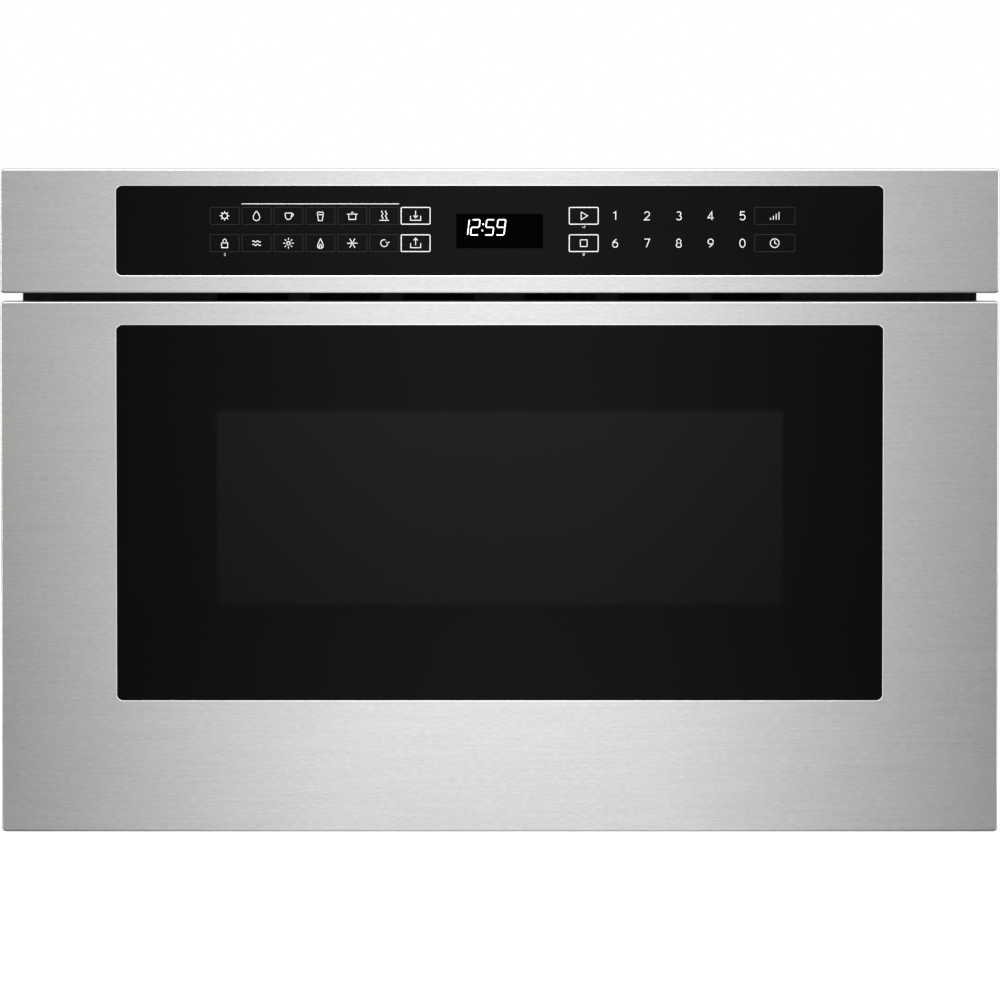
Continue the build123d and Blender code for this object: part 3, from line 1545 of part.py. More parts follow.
def high_voltage_diode():
    """Rod-shaped diode lying on its earthing lug on the base pan."""
    x = capacitor_x
    y = compartment_middle + capacitor_thickness / 2 + diode_offset
    z = base_top + diode_lug_sheet
    half = diode_lug_width / 2
    body = rod_x(x, x + diode_length, y, z + diode_radius, diode_radius)
    lug = block(x - diode_lug_length, x, y - half, y + half, base_top, z)
    riser = block(
        x - diode_lug_sheet, x, y - diode_radius, y + diode_radius, base_top, z + 2 * diode_radius
    )
    return body + lug + riser


def noise_filter_board():
    """Board on four standoffs on the cavity's back, with coil, capacitor, fuse and relay."""
    x0 = -cavity_half + filter_board_inset
    z0 = magnetron_bottom - filter_board_drop - filter_board_height
    y0 = compartment_front + standoff_height
    top = y0 + board_thickness
    board = block(x0, x0 + filter_board_width, y0, top, z0, z0 + filter_board_height)
    for dx in (standoff_inset, filter_board_width - standoff_inset):
        for dz in (standoff_inset, filter_board_height - standoff_inset):
            board += rod_y(x0 + dx, compartment_front, y0, z0 + dz, standoff_radius)

    def fitted(x, z, wide, tall, high):
        """Box-shaped component standing on the board about its middle."""
        return block(
            x0 + x - wide / 2, x0 + x + wide / 2, top, top + high, z0 + z - tall / 2, z0 + z + tall / 2
        )

    board += fitted(
        filter_coil_x, filter_coil_z, filter_coil_base, filter_coil_base, filter_coil_base_height
    )
    coil_y = top + filter_coil_radius + filter_coil_thickness
    ring_shape = Rot(0, 90, 0) * Torus(filter_coil_radius, filter_coil_thickness)
    board += Pos(x0 + filter_coil_x, coil_y, z0 + filter_coil_z) * ring_shape
    board += fitted(
        filter_capacitor_x, filter_capacitor_z,
        filter_capacitor_width, filter_capacitor_length, filter_capacitor_height,
    )
    board += fitted(
        filter_relay_x, filter_relay_z, filter_relay_width, filter_relay_length, filter_relay_height
    )
    fuse_end = x0 + filter_board_width - standoff_inset
    fuse_y = top + fuse_radius - fuse_seat
    return board + rod_x(fuse_end - fuse_length, fuse_end, fuse_y, z0 + fuse_z, fuse_radius)


def display_module():
    """Clock display behind the control glass."""
    half = display_width / 2
    return block(
        -half, half, control_glass_back, control_glass_back + display_depth,
        display_bottom, display_bottom + display_height,
    )


def control_board():
    """Main board behind the display, with its transformer, capacitors, relays and standoffs."""
    y0 = control_glass_back + display_depth
    back = y0 + board_thickness
    half = window_width / 2 - control_board_inset
    low = control_glass_bottom + control_board_margin
    high = control_glass_bottom + control_glass_height - control_board_margin
    middle = (low + high) / 2
    board = block(-half, half, y0, back, low, high)
    left = -half + board_component_inset
    right = half - board_component_inset
    board += block(
        left, left + board_transformer_width, back, back + board_transformer_height,
        middle - board_transformer_length / 2, middle + board_transformer_length / 2,
    )
    for i in range(board_relays):
        x = right - i * board_relay_pitch
        board += block(
            x - board_relay_width, x, back, back + board_relay_height,
            middle - board_relay_length / 2, middle + board_relay_length / 2,
        )
    for i in range(board_capacitors):
        x = -half + board_capacitor_inset + i * board_capacitor_pitch
        board += rod_y(x, back, back + board_capacitor_height, middle, board_capacitor_radius)
    floor_y = cabinet_face - housing_boss_height - housing_floor
    for x in (-half + standoff_inset, half - standoff_inset):
        for z in (low + standoff_inset, high - standoff_inset):
            board += rod_y(x, back, floor_y, z, standoff_radius)
    return board


def oven_lamp():
    """Lamp housing on the cavity's right wall with its bulb behind the perforations."""
    x0 = cavity_half + cavity_sheet
    x1 = x0 + lamp_box_depth
    half = lamp_box_size / 2
    inner = half - lamp_box_wall
    shell = block(x0, x1, lamp_y - half, lamp_y + half, lamp_height - half, lamp_height + half)
    shell -= block(
        x0 - overcut, x1 - lamp_box_wall, lamp_y - inner, lamp_y + inner,
        lamp_height - inner, lamp_height + inner,
    )
    bulb_x = x0 + lamp_bulb_radius + lamp_box_wall
    neck_start = math.sqrt(lamp_bulb_radius ** 2 - lamp_neck_radius ** 2)
    neck_end = x1 - lamp_box_wall - bulb_x
    profile = make_face([
        ThreePointArc((-lamp_bulb_radius, 0), (0, lamp_bulb_radius), (neck_start, lamp_neck_radius)),
        Line((neck_start, lamp_neck_radius), (neck_end, lamp_neck_radius)),
        Line((neck_end, lamp_neck_radius), (neck_end, 0)),
        Line((neck_end, 0), (-lamp_bulb_radius, 0)),
    ])
    return shell + Pos(bulb_x, lamp_y, lamp_height) * revolve(profile, Axis.X)


def humidity_sensor():
    """Small sensor with its nozzle on the exhaust duct's roof."""
    x = -(recess_size + vent_opening_width) / 2
    z = vent_strip_top + duct_sheet
    base_end = z + sensor_base_height
    base = rod_z(x, cavity_middle_y, z, base_end, sensor_base_radius)
    return base + rod_z(x, cavity_middle_y, base_end, base_end + sensor_nozzle_height, sensor_nozzle_radius)


def thermal_cutouts():
    """Disc thermostats on the magnetron's yoke and on the cavity's roof."""
    half = cutout_ear_length / 2
    x = recess_size / 2 + cutout_gap + half
    y = cavity_middle_y + cutout_from_middle
    on_roof = rod_z(x, y, cavity_roof, cavity_roof + cutout_height, cutout_radius)
    on_roof += block(
        x - half, x + half, y - cutout_ear_width / 2, y + cutout_ear_width / 2,
        cavity_roof, cavity_roof + cutout_ear_sheet,
    )
    yoke_back = magnetron_y + magnetron_depth / 2
    on_yoke = rod_y(0, yoke_back, yoke_back + cutout_height, magnetron_middle, cutout_radius)
    return gathered([on_roof, on_yoke])


def interlock_switches():
    """Latch boards on both sides: folded bracket with two snap switches above and below the hook."""
    y0 = frame_back
    plate_x = slide_middle_x + switch_plate_offset
    low = hook_height - switch_bracket_height / 2
    high = hook_height + switch_bracket_height / 2
    bracket = block(plate_x, plate_x + frame_sheet, y0, y0 + switch_bracket_length, low, high)
    bracket += block(plate_x, plate_x + switch_bracket_flange, y0, y0 + frame_sheet, low, high)
    front = y0 + switch_setback
    for side in (-1, 1):
        z = hook_height + side * (latch_slot_height + switch_height) / 2
        bracket += block(
            plate_x - switch_thickness, plate_x, front, front + switch_width,
            z - switch_height / 2, z + switch_height / 2,
        )
    return gathered([bracket, mirrored(bracket)])


# ================================================================ write every piece
parts = {
    "base_pan": base_pan(),
    "outer_cover": outer_cover(),
    "rear_panel": rear_panel(),
    "cord_gland": cord_gland(),
    "front_frame": front_frame(),
    "mounting_flange_right": mounting_flange(),
    "mounting_flange_left": mirrored(mounting_flange()),
    "front_vent_strip": front_vent_strip(),
    "oven_cavity": oven_cavity(),
    "stirrer_cover": stirrer_cover(),
    "cavity_supports": cavity_supports(),
    "waveguide": waveguide(),
    "magnetron": magnetron(),
    "stirrer_motor": stirrer_motor(),
    "stirrer_fan": stirrer_fan(),
    "high_voltage_transformer": high_voltage_transformer(),
    "high_voltage_capacitor": high_voltage_capacitor(),
    "high_voltage_diode": high_voltage_diode(),
    "fan_motor": fan_motor(),
    "fan_shroud": fan_shroud(),
    "fan_blade": fan_blade(),
    "air_duct": air_duct(),
    "exhaust_duct": exhaust_duct(),
    "noise_filter_board": noise_filter_board(),
    "drive_motor": drive_motor(),
    "drive_pinion": drive_pinion(),
    "rack_guide": rack_guide(),
    "slide_supports": slide_supports(),
    "slide_outer_right": slide_outer(),
    "slide_outer_left": mirrored(slide_outer()),
    "slide_middle_right": slide_middle(),
    "slide_middle_left": mirrored(slide_middle()),
    "slide_inner_right": slide_inner(),
    "slide_inner_left": mirrored(slide_inner()),
    "ball_cage_outer_right": outer_ball_cage(),
    "ball_cage_outer_left": mirrored(outer_ball_cage()),
    "ball_cage_inner_right": inner_ball_cage(),
    "ball_cage_inner_left": mirrored(inner_ball_cage()),
    "interlock_switches": interlock_switches(),
    "control_fascia": control_fascia(),
    "control_glass": control_glass(),
    "control_housing": control_housing(),
    "display_module": display_module(),
    "control_board": control_board(),
    "oven_lamp": oven_lamp(),
    "humidity_sensor": humidity_sensor(),
    "thermal_cutouts": thermal_cutouts(),
    "drawer_front_panel": drawer_front_panel(),
    "window_glass": window_glass(),
    "door_carrier": door_carrier(),
    "door_frame": door_frame(),
    "choke_cover": choke_cover(),
    "perforated_screen": perforated_screen(),
    "inner_window": inner_window(),
    "door_bracket_right": door_bracket(),
    "door_bracket_left": mirrored(door_bracket()),
    "latch_hooks": latch_hooks(),
    "drawer_pan": drawer_pan(),
    "ceramic_plate": ceramic_plate(),
    "drive_rack": drive_rack(),
}

os.makedirs("parts", exist_ok=True)
for name, shape in parts.items():
    export_step(shape, f"parts/{name}.step")
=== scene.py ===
import json
import math

import bpy
import numpy as np
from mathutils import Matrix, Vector

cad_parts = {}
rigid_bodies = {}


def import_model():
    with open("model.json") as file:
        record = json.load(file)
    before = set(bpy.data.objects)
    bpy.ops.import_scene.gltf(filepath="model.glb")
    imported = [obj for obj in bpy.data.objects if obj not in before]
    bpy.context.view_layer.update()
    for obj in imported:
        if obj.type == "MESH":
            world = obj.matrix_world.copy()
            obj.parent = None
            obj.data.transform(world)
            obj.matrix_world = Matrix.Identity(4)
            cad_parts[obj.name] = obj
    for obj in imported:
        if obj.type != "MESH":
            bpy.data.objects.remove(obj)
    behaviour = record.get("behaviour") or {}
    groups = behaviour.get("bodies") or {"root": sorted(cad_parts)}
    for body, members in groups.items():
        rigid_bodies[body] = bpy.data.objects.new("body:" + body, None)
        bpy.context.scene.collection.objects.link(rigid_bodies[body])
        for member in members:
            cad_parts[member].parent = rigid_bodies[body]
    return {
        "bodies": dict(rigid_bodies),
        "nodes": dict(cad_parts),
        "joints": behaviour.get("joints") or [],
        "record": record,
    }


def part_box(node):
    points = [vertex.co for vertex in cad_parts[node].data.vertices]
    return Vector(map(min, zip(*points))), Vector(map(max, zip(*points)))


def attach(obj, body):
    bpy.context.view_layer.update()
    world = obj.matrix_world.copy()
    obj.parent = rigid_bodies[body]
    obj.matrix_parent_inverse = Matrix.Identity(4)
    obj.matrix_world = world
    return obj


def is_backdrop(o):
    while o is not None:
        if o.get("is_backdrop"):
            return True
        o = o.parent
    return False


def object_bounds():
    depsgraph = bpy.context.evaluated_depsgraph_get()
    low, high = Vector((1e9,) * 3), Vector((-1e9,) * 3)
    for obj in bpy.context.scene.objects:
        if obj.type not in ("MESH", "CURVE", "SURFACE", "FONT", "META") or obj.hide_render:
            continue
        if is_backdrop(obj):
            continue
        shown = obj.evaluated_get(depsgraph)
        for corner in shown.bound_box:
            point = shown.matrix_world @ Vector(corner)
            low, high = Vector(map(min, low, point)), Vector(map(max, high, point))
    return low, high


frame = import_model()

bl_info = {
    "name": "Microwave Drawer",
    "version": (1, 0, 0),
    "blender": (4, 5, 0),
    "location": "View3D > Sidebar > Drawer",
    "description": "Finishes, trims, printed keys, clock, screws and windings of a microwave drawer",
    "category": "Object",
}

MM = 0.001
GLASS_FADE = 235 * MM       # half the width over which the painted light on both glasses fades towards their ends
HOLE_PITCH = 2.0 * MM       # between the holes of the perforated screen
SCREEN_MARGIN = 9 * MM      # rim of the screen that the print on the window glass covers
SCREEN_SOFT = 3.5 * MM      # soft edge of that print
TRIM_AHEAD = 0.02 * MM      # foot of a trim ahead of its glass
INK_AHEAD = 0.03 * MM       # ink ahead of the touch glass
LENS_BEHIND = 0.015 * MM    # lens behind the ink
STACK_HALF = 29 * MM        # half the depth of the transformer's iron
LEG_HALF = 17 * MM          # half the width of its middle leg
COIL_WALL = 17 * MM         # from the leg to a coil's outermost turns
COIL_CORNER = 8.5 * MM      # radius of a coil's corners
TRANSFORMER_FOOT = 2 * MM   # plate under the iron
BOARD = 1.6 * MM            # thickness of a circuit board
FILTER_STUDS = 8 * MM       # height of the studs under the filter's board
UNDER_DRAWER = 0.4 * MM     # gap between the drawer and the floor
MITRE_LIMIT = 0.35          # keeps the corners of a narrow angle from running out into spikes


# -------- sizes and colours that a user may change
def linear(hex_colour):
    """The linear colour of an sRGB hex value: ((c + 0.055) / 1.055) ** 2.4, or c / 12.92 near black."""
    channels = [int(hex_colour[i:i + 2], 16) / 255 for i in (0, 2, 4)]
    return tuple(c / 12.92 if c <= 0.04045 else ((c + 0.055) / 1.055) ** 2.4 for c in channels) + (1.0,)


def length(name, description, millimetres):
    """A size property in metres, from its value in millimetres."""
    return bpy.props.FloatProperty(
        name=name, description=description, default=millimetres * MM, min=0.0, unit="LENGTH", precision=5
    )


def colour(name, description, hex_colour):
    """A colour property from an sRGB hex value."""
    return bpy.props.FloatVectorProperty(
        name=name, description=description, default=linear(hex_colour)[:3],
        subtype="COLOR", size=3, min=0.0, max=1.0,
    )


def number(name, description, default, **limits):
    """A plain number property."""
    return bpy.props.FloatProperty(name=name, description=description, default=default, **limits)


class FinishSettings(bpy.types.PropertyGroup):
    """Colours of the main finishes."""
    steel: colour("Brushed steel", "Stainless steel of the two fronts", "b2b2b1")
    glass: colour("Black glass", "Back-printed glass of the window and the controls", "060607")
    black_paint: colour("Black paint", "Powder coat of the frame, flanges and door plate", "080808")
    black_plastic: colour("Black plastic", "Moulded carriers, ducts and vent strip", "0f0f10")
    cavity: colour("Cavity paint", "Baked paint inside the oven", "b9b6ae")
    pan: colour("Pan coating", "Coating of the drawer pan", "55544f")
    copper: colour("Copper", "Enamelled wire of the windings", "b4632f")


class TrimSettings(bpy.types.PropertyGroup):
    """Polished trim round the two glasses."""
    reach: length("Reach", "How far the trim's outer edge lies outside the glass", 0.62)
    width: length("Width", "Width of the trim seen from the front", 0.75)
    crown: length("Crown", "Height of the trim's crown", 0.12)
    corner: length("Corner", "Radius of the trim's corners", 4.4)
    tint: colour("Colour", "Polished steel of the trim", "dcdcdc")


class KeySettings(bpy.types.PropertyGroup):
    """Printed keys on the touch glass."""
    width: length("Key width", "Width of a key's outline", 17.9)
    height: length("Key height", "Height of a key's outline", 10.7)
    pitch: length("Key pitch", "Distance between two keys of a row", 19.37)
    first: length("First key", "Middle of the first key, left of the panel's middle", 166.9)
    main_width: length("Main key width", "Width of the four main keys' outline", 18.1)
    main_place: length("Main keys", "Middle of the main keys, left and right of the panel's middle", 51.0)
    side_width: length("Side key width", "Width of the two keys on the right", 24.8)
    side_place: length("Side keys", "Middle of the two keys on the right", 166.9)
    corner: length("Corner", "Radius of an outline's corners", 0.6)
    overline: length("Overline", "Height of the line above the upper row's outlines", 1.9)
    sign: length("Sign", "Half the width of a key's sign", 3.4)
    sign_line: length("Sign line", "Line width of a key's sign", 0.46)
    small_digit: length("Small digit", "Height of the small numbers under three keys", 1.5)
    row_gap: length("Row pitch", "Distance between the two rows", 16.6)
    upper_row: length("Upper row", "Height of the upper row above the glass's lower edge", 36.4)
    faint_line: length("Faint line", "Line width of the unlit keys", 0.35)
    bright_line: length("Bright line", "Line width of the main keys", 0.55)
    over_line: length("Overline width", "Line width of the line above the upper row", 0.45)
    digit_height: length("Digit height", "Height of a printed digit", 5.3)
    digit_line: length("Digit line", "Line width of a printed digit", 0.52)
    digit_pitch: length("Digit pitch", "Distance between two digits", 19.3)
    first_digit: length("First digit", "Middle of the first digit, right of the panel's middle", 70.1)
    white: colour("Print", "White ink", "cfcfcd")
    grey: colour("Faint print", "Grey ink of the unlit keys", "222222")


class ClockSettings(bpy.types.PropertyGroup):
    """Lit clock behind the touch glass."""
    width: length("Digit width", "Width of a clock digit", 5.3)
    height: length("Digit height", "Height of a clock digit", 9.9)
    bar: length("Bar", "Width of a lit bar", 0.62)
    rise: length("Rise", "Height of the digits' middle above the lens's middle", 2.3)
    margin: length("Lens margin", "How far the lens reaches past the display module", 0.35)
    slant: number("Slant", "Lean of the digits", math.radians(7), subtype="ANGLE")
    glow: number("Glow", "Strength of the lit bars", 0.9, min=0.0, max=5.0)
    light: colour("Light", "Colour of the lit bars", "ffffff")


class ScrewSettings(bpy.types.PropertyGroup):
    """Pan-head screws of the chassis."""
    head: length("Head", "Diameter of a screw's head", 7.0)
    rise: length("Rise", "Height of a screw's head", 2.0)
    edge: length("Edge", "Distance of a row of screws from the sheet's edge", 9.0)
    pitch: length("Pitch", "Largest distance between two screws of a row", 130.0)
    frame_side: length("Frame side", "Distance of the frame's screws from its side", 20.7)
    frame_upper: length("Frame upper", "Height of the frame's upper screws above its foot", 283.5)


class WindingSettings(bpy.types.PropertyGroup):
    """Wound coils of the transformer."""
    wire: length("Wire", "Thickness of a turn of wire", 1.5)
    bulge: length("Bulge", "How far the turns stand out of the coil's form", 0.5)


class StageSettings(bpy.types.PropertyGroup):
    """Camera, lamps and floor."""
    distance: length("Distance", "Camera to the fronts", 5000)
    eye: length("Eye", "Height of the camera", 489)
    lens: number("Lens", "Focal length in millimetres", 296.6)
    pitch: number("Pitch", "How far the camera looks down", math.radians(3.284), subtype="ANGLE")
    ahead: length("Soft box distance", "Soft box to the fronts", 620)
    box_width: length("Soft box width", "Width of the soft box, its soft edges included", 860)
    box_watts: number("Soft box power", "Watts of the soft box", 3.36)
    boom_watts: number("Boom lamp power", "Watts of the boom lamp", 1.8)
    top_watts: number("Top lamp power", "Watts of the top lamp", 22.0)
    side_watts: number("Side lamp power", "Watts of a side lamp", 24.0)
    aside: length("Aside", "Camera right of the drawer's middle", 0.2)
    room: number("Room", "How bright the room in front is when steel reflects it", 0.63)
    # Painted shade on the floor that only the steel's reflections show.
    mirrored_floor: colour("Mirrored floor", "Floor beside its middle, as steel reflects it", "3f3f3f")
    floor: colour("Floor", "Pale floor", "fafafa")


GROUPS = {
    "drawer_finishes": FinishSettings,
    "drawer_trims": TrimSettings,
    "drawer_keys": KeySettings,
    "drawer_clock": ClockSettings,
    "drawer_screws": ScrewSettings,
    "drawer_windings": WindingSettings,
    "drawer_stage": StageSettings,
}


# -------- meshes worked out with numpy
def make_piece(name, points, faces, body, material, smooth=True):
    """One mesh object at the origin from arrays of points (metres) and faces, on its body."""
    mesh = bpy.data.meshes.new(name)
    mesh.from_pydata(np.asarray(points, float).reshape(-1, 3).tolist(), [], np.asarray(faces).tolist())
    mesh.polygons.foreach_set("use_smooth", np.full(len(mesh.polygons), smooth))
    mesh.materials.append(material)
    mesh.update()
    piece = bpy.data.objects.new(name, mesh)
    bpy.context.scene.collection.objects.link(piece)
    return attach(piece, body)


def grid_faces(rows, columns, closed_rows=False, closed_columns=False):
    """Quads of a grid of points: face (i, j) joins rows i, i + 1 and columns j, j + 1."""
    i, j = np.meshgrid(
        np.arange(rows if closed_rows else rows - 1),
        np.arange(columns if closed_columns else columns - 1), indexing="ij",
    )
    k, l = (i + 1) % rows, (j + 1) % columns
    corners = (i * columns + j, i * columns + l, k * columns + l, k * columns + j)
    return np.stack(corners, -1).reshape(-1, 4)


def rounded_loop(half_width, half_height, radius, steps=8):
    """Rounded rectangle (a, b) and its outward normals: quarter arcs r (cos t, sin t) on four corners."""
    turn = np.linspace(0, np.pi / 2, steps)
    angle = (turn[None, :] + np.arange(4)[:, None] * np.pi / 2).ravel()
    sign_a = np.repeat([1, -1, -1, 1], steps)
    sign_b = np.repeat([1, 1, -1, -1], steps)
    normal = np.stack([np.cos(angle), np.sin(angle)], -1)
    centre = np.stack([sign_a * (half_width - radius), sign_b * (half_height - radius)], -1)
    return centre + radius * normal, normal


def loop_band(loop, normal, across, up):
    """Band along a closed path: point (i, j) is path i moved across[j] on its normal, at height up[j]."""
    flat = loop[:, None, :] + normal[:, None, :] * np.asarray(across)[None, :, None]
    height = np.broadcast_to(np.asarray(up)[None, :], flat.shape[:2])
    return flat[..., 0], flat[..., 1], height


def stroke(points, width, closed=False):
    """Flat ribbon along a path: every point is moved half the width to both sides, with mitred corners."""
    path = np.asarray(points, float)
    before = np.roll(path, 1, 0)
    after = np.roll(path, -1, 0)
    if not closed:
        before[0] = 2 * path[0] - path[1]
        after[-1] = 2 * path[-1] - path[-2]
    came = path - before
    goes = after - path
    came /= np.linalg.norm(came, axis=1, keepdims=True)
    goes /= np.linalg.norm(goes, axis=1, keepdims=True)
    side = np.stack([-(came + goes)[:, 1], (came + goes)[:, 0]], -1)
    side /= np.maximum(np.linalg.norm(side, axis=1, keepdims=True), 1e-9)
    mitre = np.clip(np.abs(side[:, 0] * -goes[:, 1] + side[:, 1] * goes[:, 0]), MITRE_LIMIT, 1.0)[:, None]
    shift = side * width / 2 / mitre
    rows = np.stack([path - shift, path + shift], 1)
    return rows.reshape(-1, 2), grid_faces(len(path), 2, closed_rows=closed)


def arc(x, y, radius, start, end, steps=20, stretch=1.0):
    """Points on an arc, stretched by s: (x + r cos t, y + s r sin t) for t from start to end degrees."""
    t = np.radians(np.linspace(start, end, steps))
    return np.stack([x + radius * np.cos(t), y + stretch * radius * np.sin(t)], -1)


def fan(loop, middle):
    """Triangles from every edge of a closed path to a point inside it."""
    ring = np.arange(len(loop))
    faces = np.stack([ring, (ring + 1) % len(loop), np.full(len(loop), len(loop))], -1)
    return np.concatenate([loop, [middle]]), faces


def print_on(name, parts, material, behind=0.0):
    """Ink just ahead of the touch glass: flat parts (points, faces) as one piece that faces the front."""
    counts = np.cumsum([0] + [len(points) for points, _ in parts])
    flat = np.concatenate([points for points, _ in parts])
    faces = np.concatenate([part_faces + count for (_, part_faces), count in zip(parts, counts)])
    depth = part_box("control_glass")[0].y - INK_AHEAD + behind
    points = np.stack([flat[:, 0], np.full(len(flat), depth), flat[:, 1]], -1)
    a, b, c = (points[faces[:, k]] for k in range(3))
    towards_back = np.cross(b - a, c - a)[:, 1] > 0
    faces = np.where(towards_back[:, None], faces[:, ::-1], faces)
    return make_piece(name, points, faces, "cabinet", material, smooth=False)


# -------- materials
def add(tree, kind, *values, take=None, **more):
    """Adds a node and gives its first open output, or the one that take names.

    Values fill its open sockets in order. Of the other words, capitalised ones are sockets and the rest
    settings. A value that is an output gets linked.
    """
    node = tree.nodes.new("ShaderNode" + kind)
    for word, value in more.items():
        if not word[0].isupper():
            setattr(node, word, value)
    filled = list(zip([socket for socket in node.inputs if socket.enabled], values))
    filled += [(node.inputs[word.replace("_", " ")], more[word]) for word in more if word[0].isupper()]
    for socket, value in filled:
        if isinstance(value, bpy.types.NodeSocket):
            tree.links.new(value, socket)
        else:
            socket.default_value = value
    return node.outputs[take] if take else next(socket for socket in node.outputs if socket.enabled)


def shade(rgb, factor=1.0):
    """A colour made lighter or darker by a factor."""
    return tuple(min(1.0, c * factor) for c in tuple(rgb)[:3]) + (1.0,)


class Finish:
    """A material being made: its nodes, its shader with the uniform values, and the place on the piece."""

    def __init__(self, name, **sockets):
        self.material = bpy.data.materials.new(name)
        self.material.use_nodes = True
        self.tree = self.material.node_tree
        self.shader = self.tree.nodes["Principled BSDF"]
        for socket, value in sockets.items():
            self.shader.inputs[socket.replace("_", " ")].default_value = value
        self.place = self.add("TexCoord", take="Object")

    def add(self, kind, *values, **more):
        """Adds a node to this material."""
        return add(self.tree, kind, *values, **more)

    def feed(self, socket, pattern):
        """Carries a pattern to one of the shader's sockets."""
        self.tree.links.new(pattern, self.shader.inputs[socket])

    def clouds(self, *size, detail=2.0, roughness=0.5):
        """Cloudy pattern from 0 to 1 whose clouds are as large as size in millimetres."""
        counted = self.add("Mapping", self.place, Scale=[1000 / s for s in size])
        return self.add("TexNoise", counted, 1.0, detail, roughness)

    def crystals(self, *size, spread=1.0):
        """Cells as large as size in millimetres, each with its own value from 0 to 1."""
        counted = self.add("Mapping", self.place, Scale=[1000 / s for s in size])
        cells = self.add("TexVoronoi", counted, 1.0, Randomness=spread, take="Color")
        return self.add("SeparateXYZ", cells, take="X")

    def punched(self):
        """Holes in rows: sin(2 pi x / p) sin(2 pi z / p) for the pitch p, highest in the middle of a hole."""
        waves = []
        for axis in "XZ":
            place = self.add("SeparateXYZ", self.place, take=axis)
            turn = self.add("Math", place, 2 * math.pi / HOLE_PITCH, operation="MULTIPLY")
            waves.append(self.add("Math", turn, operation="SINE"))
        return self.add("Math", *waves, operation="MULTIPLY")

    def joined(self, first, share, second):
        """Two patterns in one: a share of the first and the rest of the second."""
        rest = self.add("Math", second, 1 - share, operation="MULTIPLY")
        return self.add("Math", first, share, rest, operation="MULTIPLY_ADD")

    def within(self, value, low, high, soft):
        """1 where a value lies between low and high, falling to 0 over a soft edge on both sides."""
        rise = self.add("MapRange", value, low - soft, low)
        fall = self.add("MapRange", value, high, high + soft, 1.0, 0.0)
        return self.add("Math", rise, fall, operation="MULTIPLY")

    def near_middle(self):
        """Mask of the painted light on a glass: 1 in its middle, falling evenly to 0 towards both ends."""
        beside = self.add("Math", self.add("SeparateXYZ", self.place, take="X"), operation="ABSOLUTE")
        return self.add("MapRange", beside, 0.0, GLASS_FADE, 1.0, 0.0)

    def done(self, tone=None, rough=None, relief=None):
        """Carries patterns to the surface and gives the material.

        tone is a pattern with its two colours. rough is a pattern with its two roughnesses and the values of
        the pattern that they stand at, 0.3 and 0.7 if left out. relief is a pattern with its height in
        millimetres and its strength.
        """
        if tone:
            self.feed("Base Color", self.add("Mix", *tone, data_type="RGBA"))
        if rough:
            pattern, smooth, dull, low, high = (*rough, 0.3, 0.7)[:5]
            self.feed("Roughness", self.add("MapRange", pattern, low, high, smooth, dull))
        if relief:
            pattern, height, strength = relief
            self.feed("Normal", self.add("Bump", Height=pattern, Distance=height * MM, Strength=strength))
        return self.material


def clouded(name, size, first, second, rough, relief=None, detail=2.0, **sockets):
    """A finish whose colour, roughness and relief all follow one cloudy pattern."""
    made = Finish(name, **sockets)
    pattern = made.clouds(*size, detail=detail)
    return made.done((pattern, first, second), (pattern, *rough), relief and (pattern, *relief))


def brushed_stainless(settings):
    """Stainless steel sheet with a short grain brushed along its width."""
    # The belt leaves scratches a few millimetres long and 0.1 mm wide, drawn 0.6 mm wide so that they show.
    # They spread a reflection across the grain, so the finish is anisotropic, turned a quarter.
    made = Finish("brushed_stainless", Metallic=1.0, Anisotropic=0.7, Anisotropic_Rotation=0.25)
    fine = made.clouds(4.5, 4.5, 0.6, roughness=0.6)
    grain = made.joined(fine, 0.7, made.clouds(40, 40, 0.9, detail=3))
    bright = made.add("MapRange", grain, 0.28, 0.72)
    return made.done(
        tone=(bright, shade(settings.steel, 0.86), shade(settings.steel, 1.12)),
        rough=(grain, 0.28, 0.35, 0.28, 0.72),
        relief=(fine, 0.01, 0.12),
    )


def polished_steel(settings):
    """Polished steel strip: nearly mirror bright, with faint lengthwise drawing marks."""
    first, second = shade(settings.tint, 0.94), shade(settings.tint, 1.05)
    return clouded("polished_steel", (30, 30, 0.4), first, second, (0.14, 0.24), detail=3, Metallic=1.0)


def window_black_glass(settings, low, high):
    """Toughened glass printed black on its back, with the perforated screen faint behind its opening."""
    # Soda-lime glass: glossy and dark. The screen behind its opening is painted on the glass, and painted
    # light makes the glass lighter towards its upper middle, most on the screen.
    made = Finish("window_black_glass", IOR=1.5, Specular_IOR_Level=0.02)
    x = made.add("SeparateXYZ", made.place, take="X")
    z = made.add("SeparateXYZ", made.place, take="Z")
    inside = made.add(
        "Math", made.within(x, low.x, high.x, SCREEN_SOFT), made.within(z, low.z, high.z, SCREEN_SOFT),
        operation="MULTIPLY",
    )
    holes = made.add("MapRange", made.punched(), -0.2, 0.5, 0.75, 1.0)
    haze = made.clouds(220, 220, 160)
    middle = made.near_middle()
    # Painted light: upper, the middle and their product make the glass lighter towards its top and middle, on
    # the screen and on the print round it; depth adds this painted light to the haze.
    upper = made.add("MapRange", z, low.z, high.z, 0.55, 1.0)
    lit = made.add("Math", upper, made.add("MapRange", middle, 0.2, 0.75, 0.55, 1.0), operation="MULTIPLY")
    painted_glass_light = made.add("Math", middle, upper, operation="MULTIPLY")
    depth = made.add("Math", haze, 0.2, painted_glass_light, operation="MULTIPLY_ADD")
    dark = made.add("Mix", depth, shade(settings.glass, 0.7), shade(settings.glass, 2.2), data_type="RGBA")
    bright = made.add("Mix", holes, shade(settings.glass, 2.3), shade(settings.glass, 4.0), data_type="RGBA")
    seen = made.add("Mix", lit, dark, bright, data_type="RGBA")
    return made.done(tone=(inside, dark, seen), rough=(haze, 0.05, 0.08))


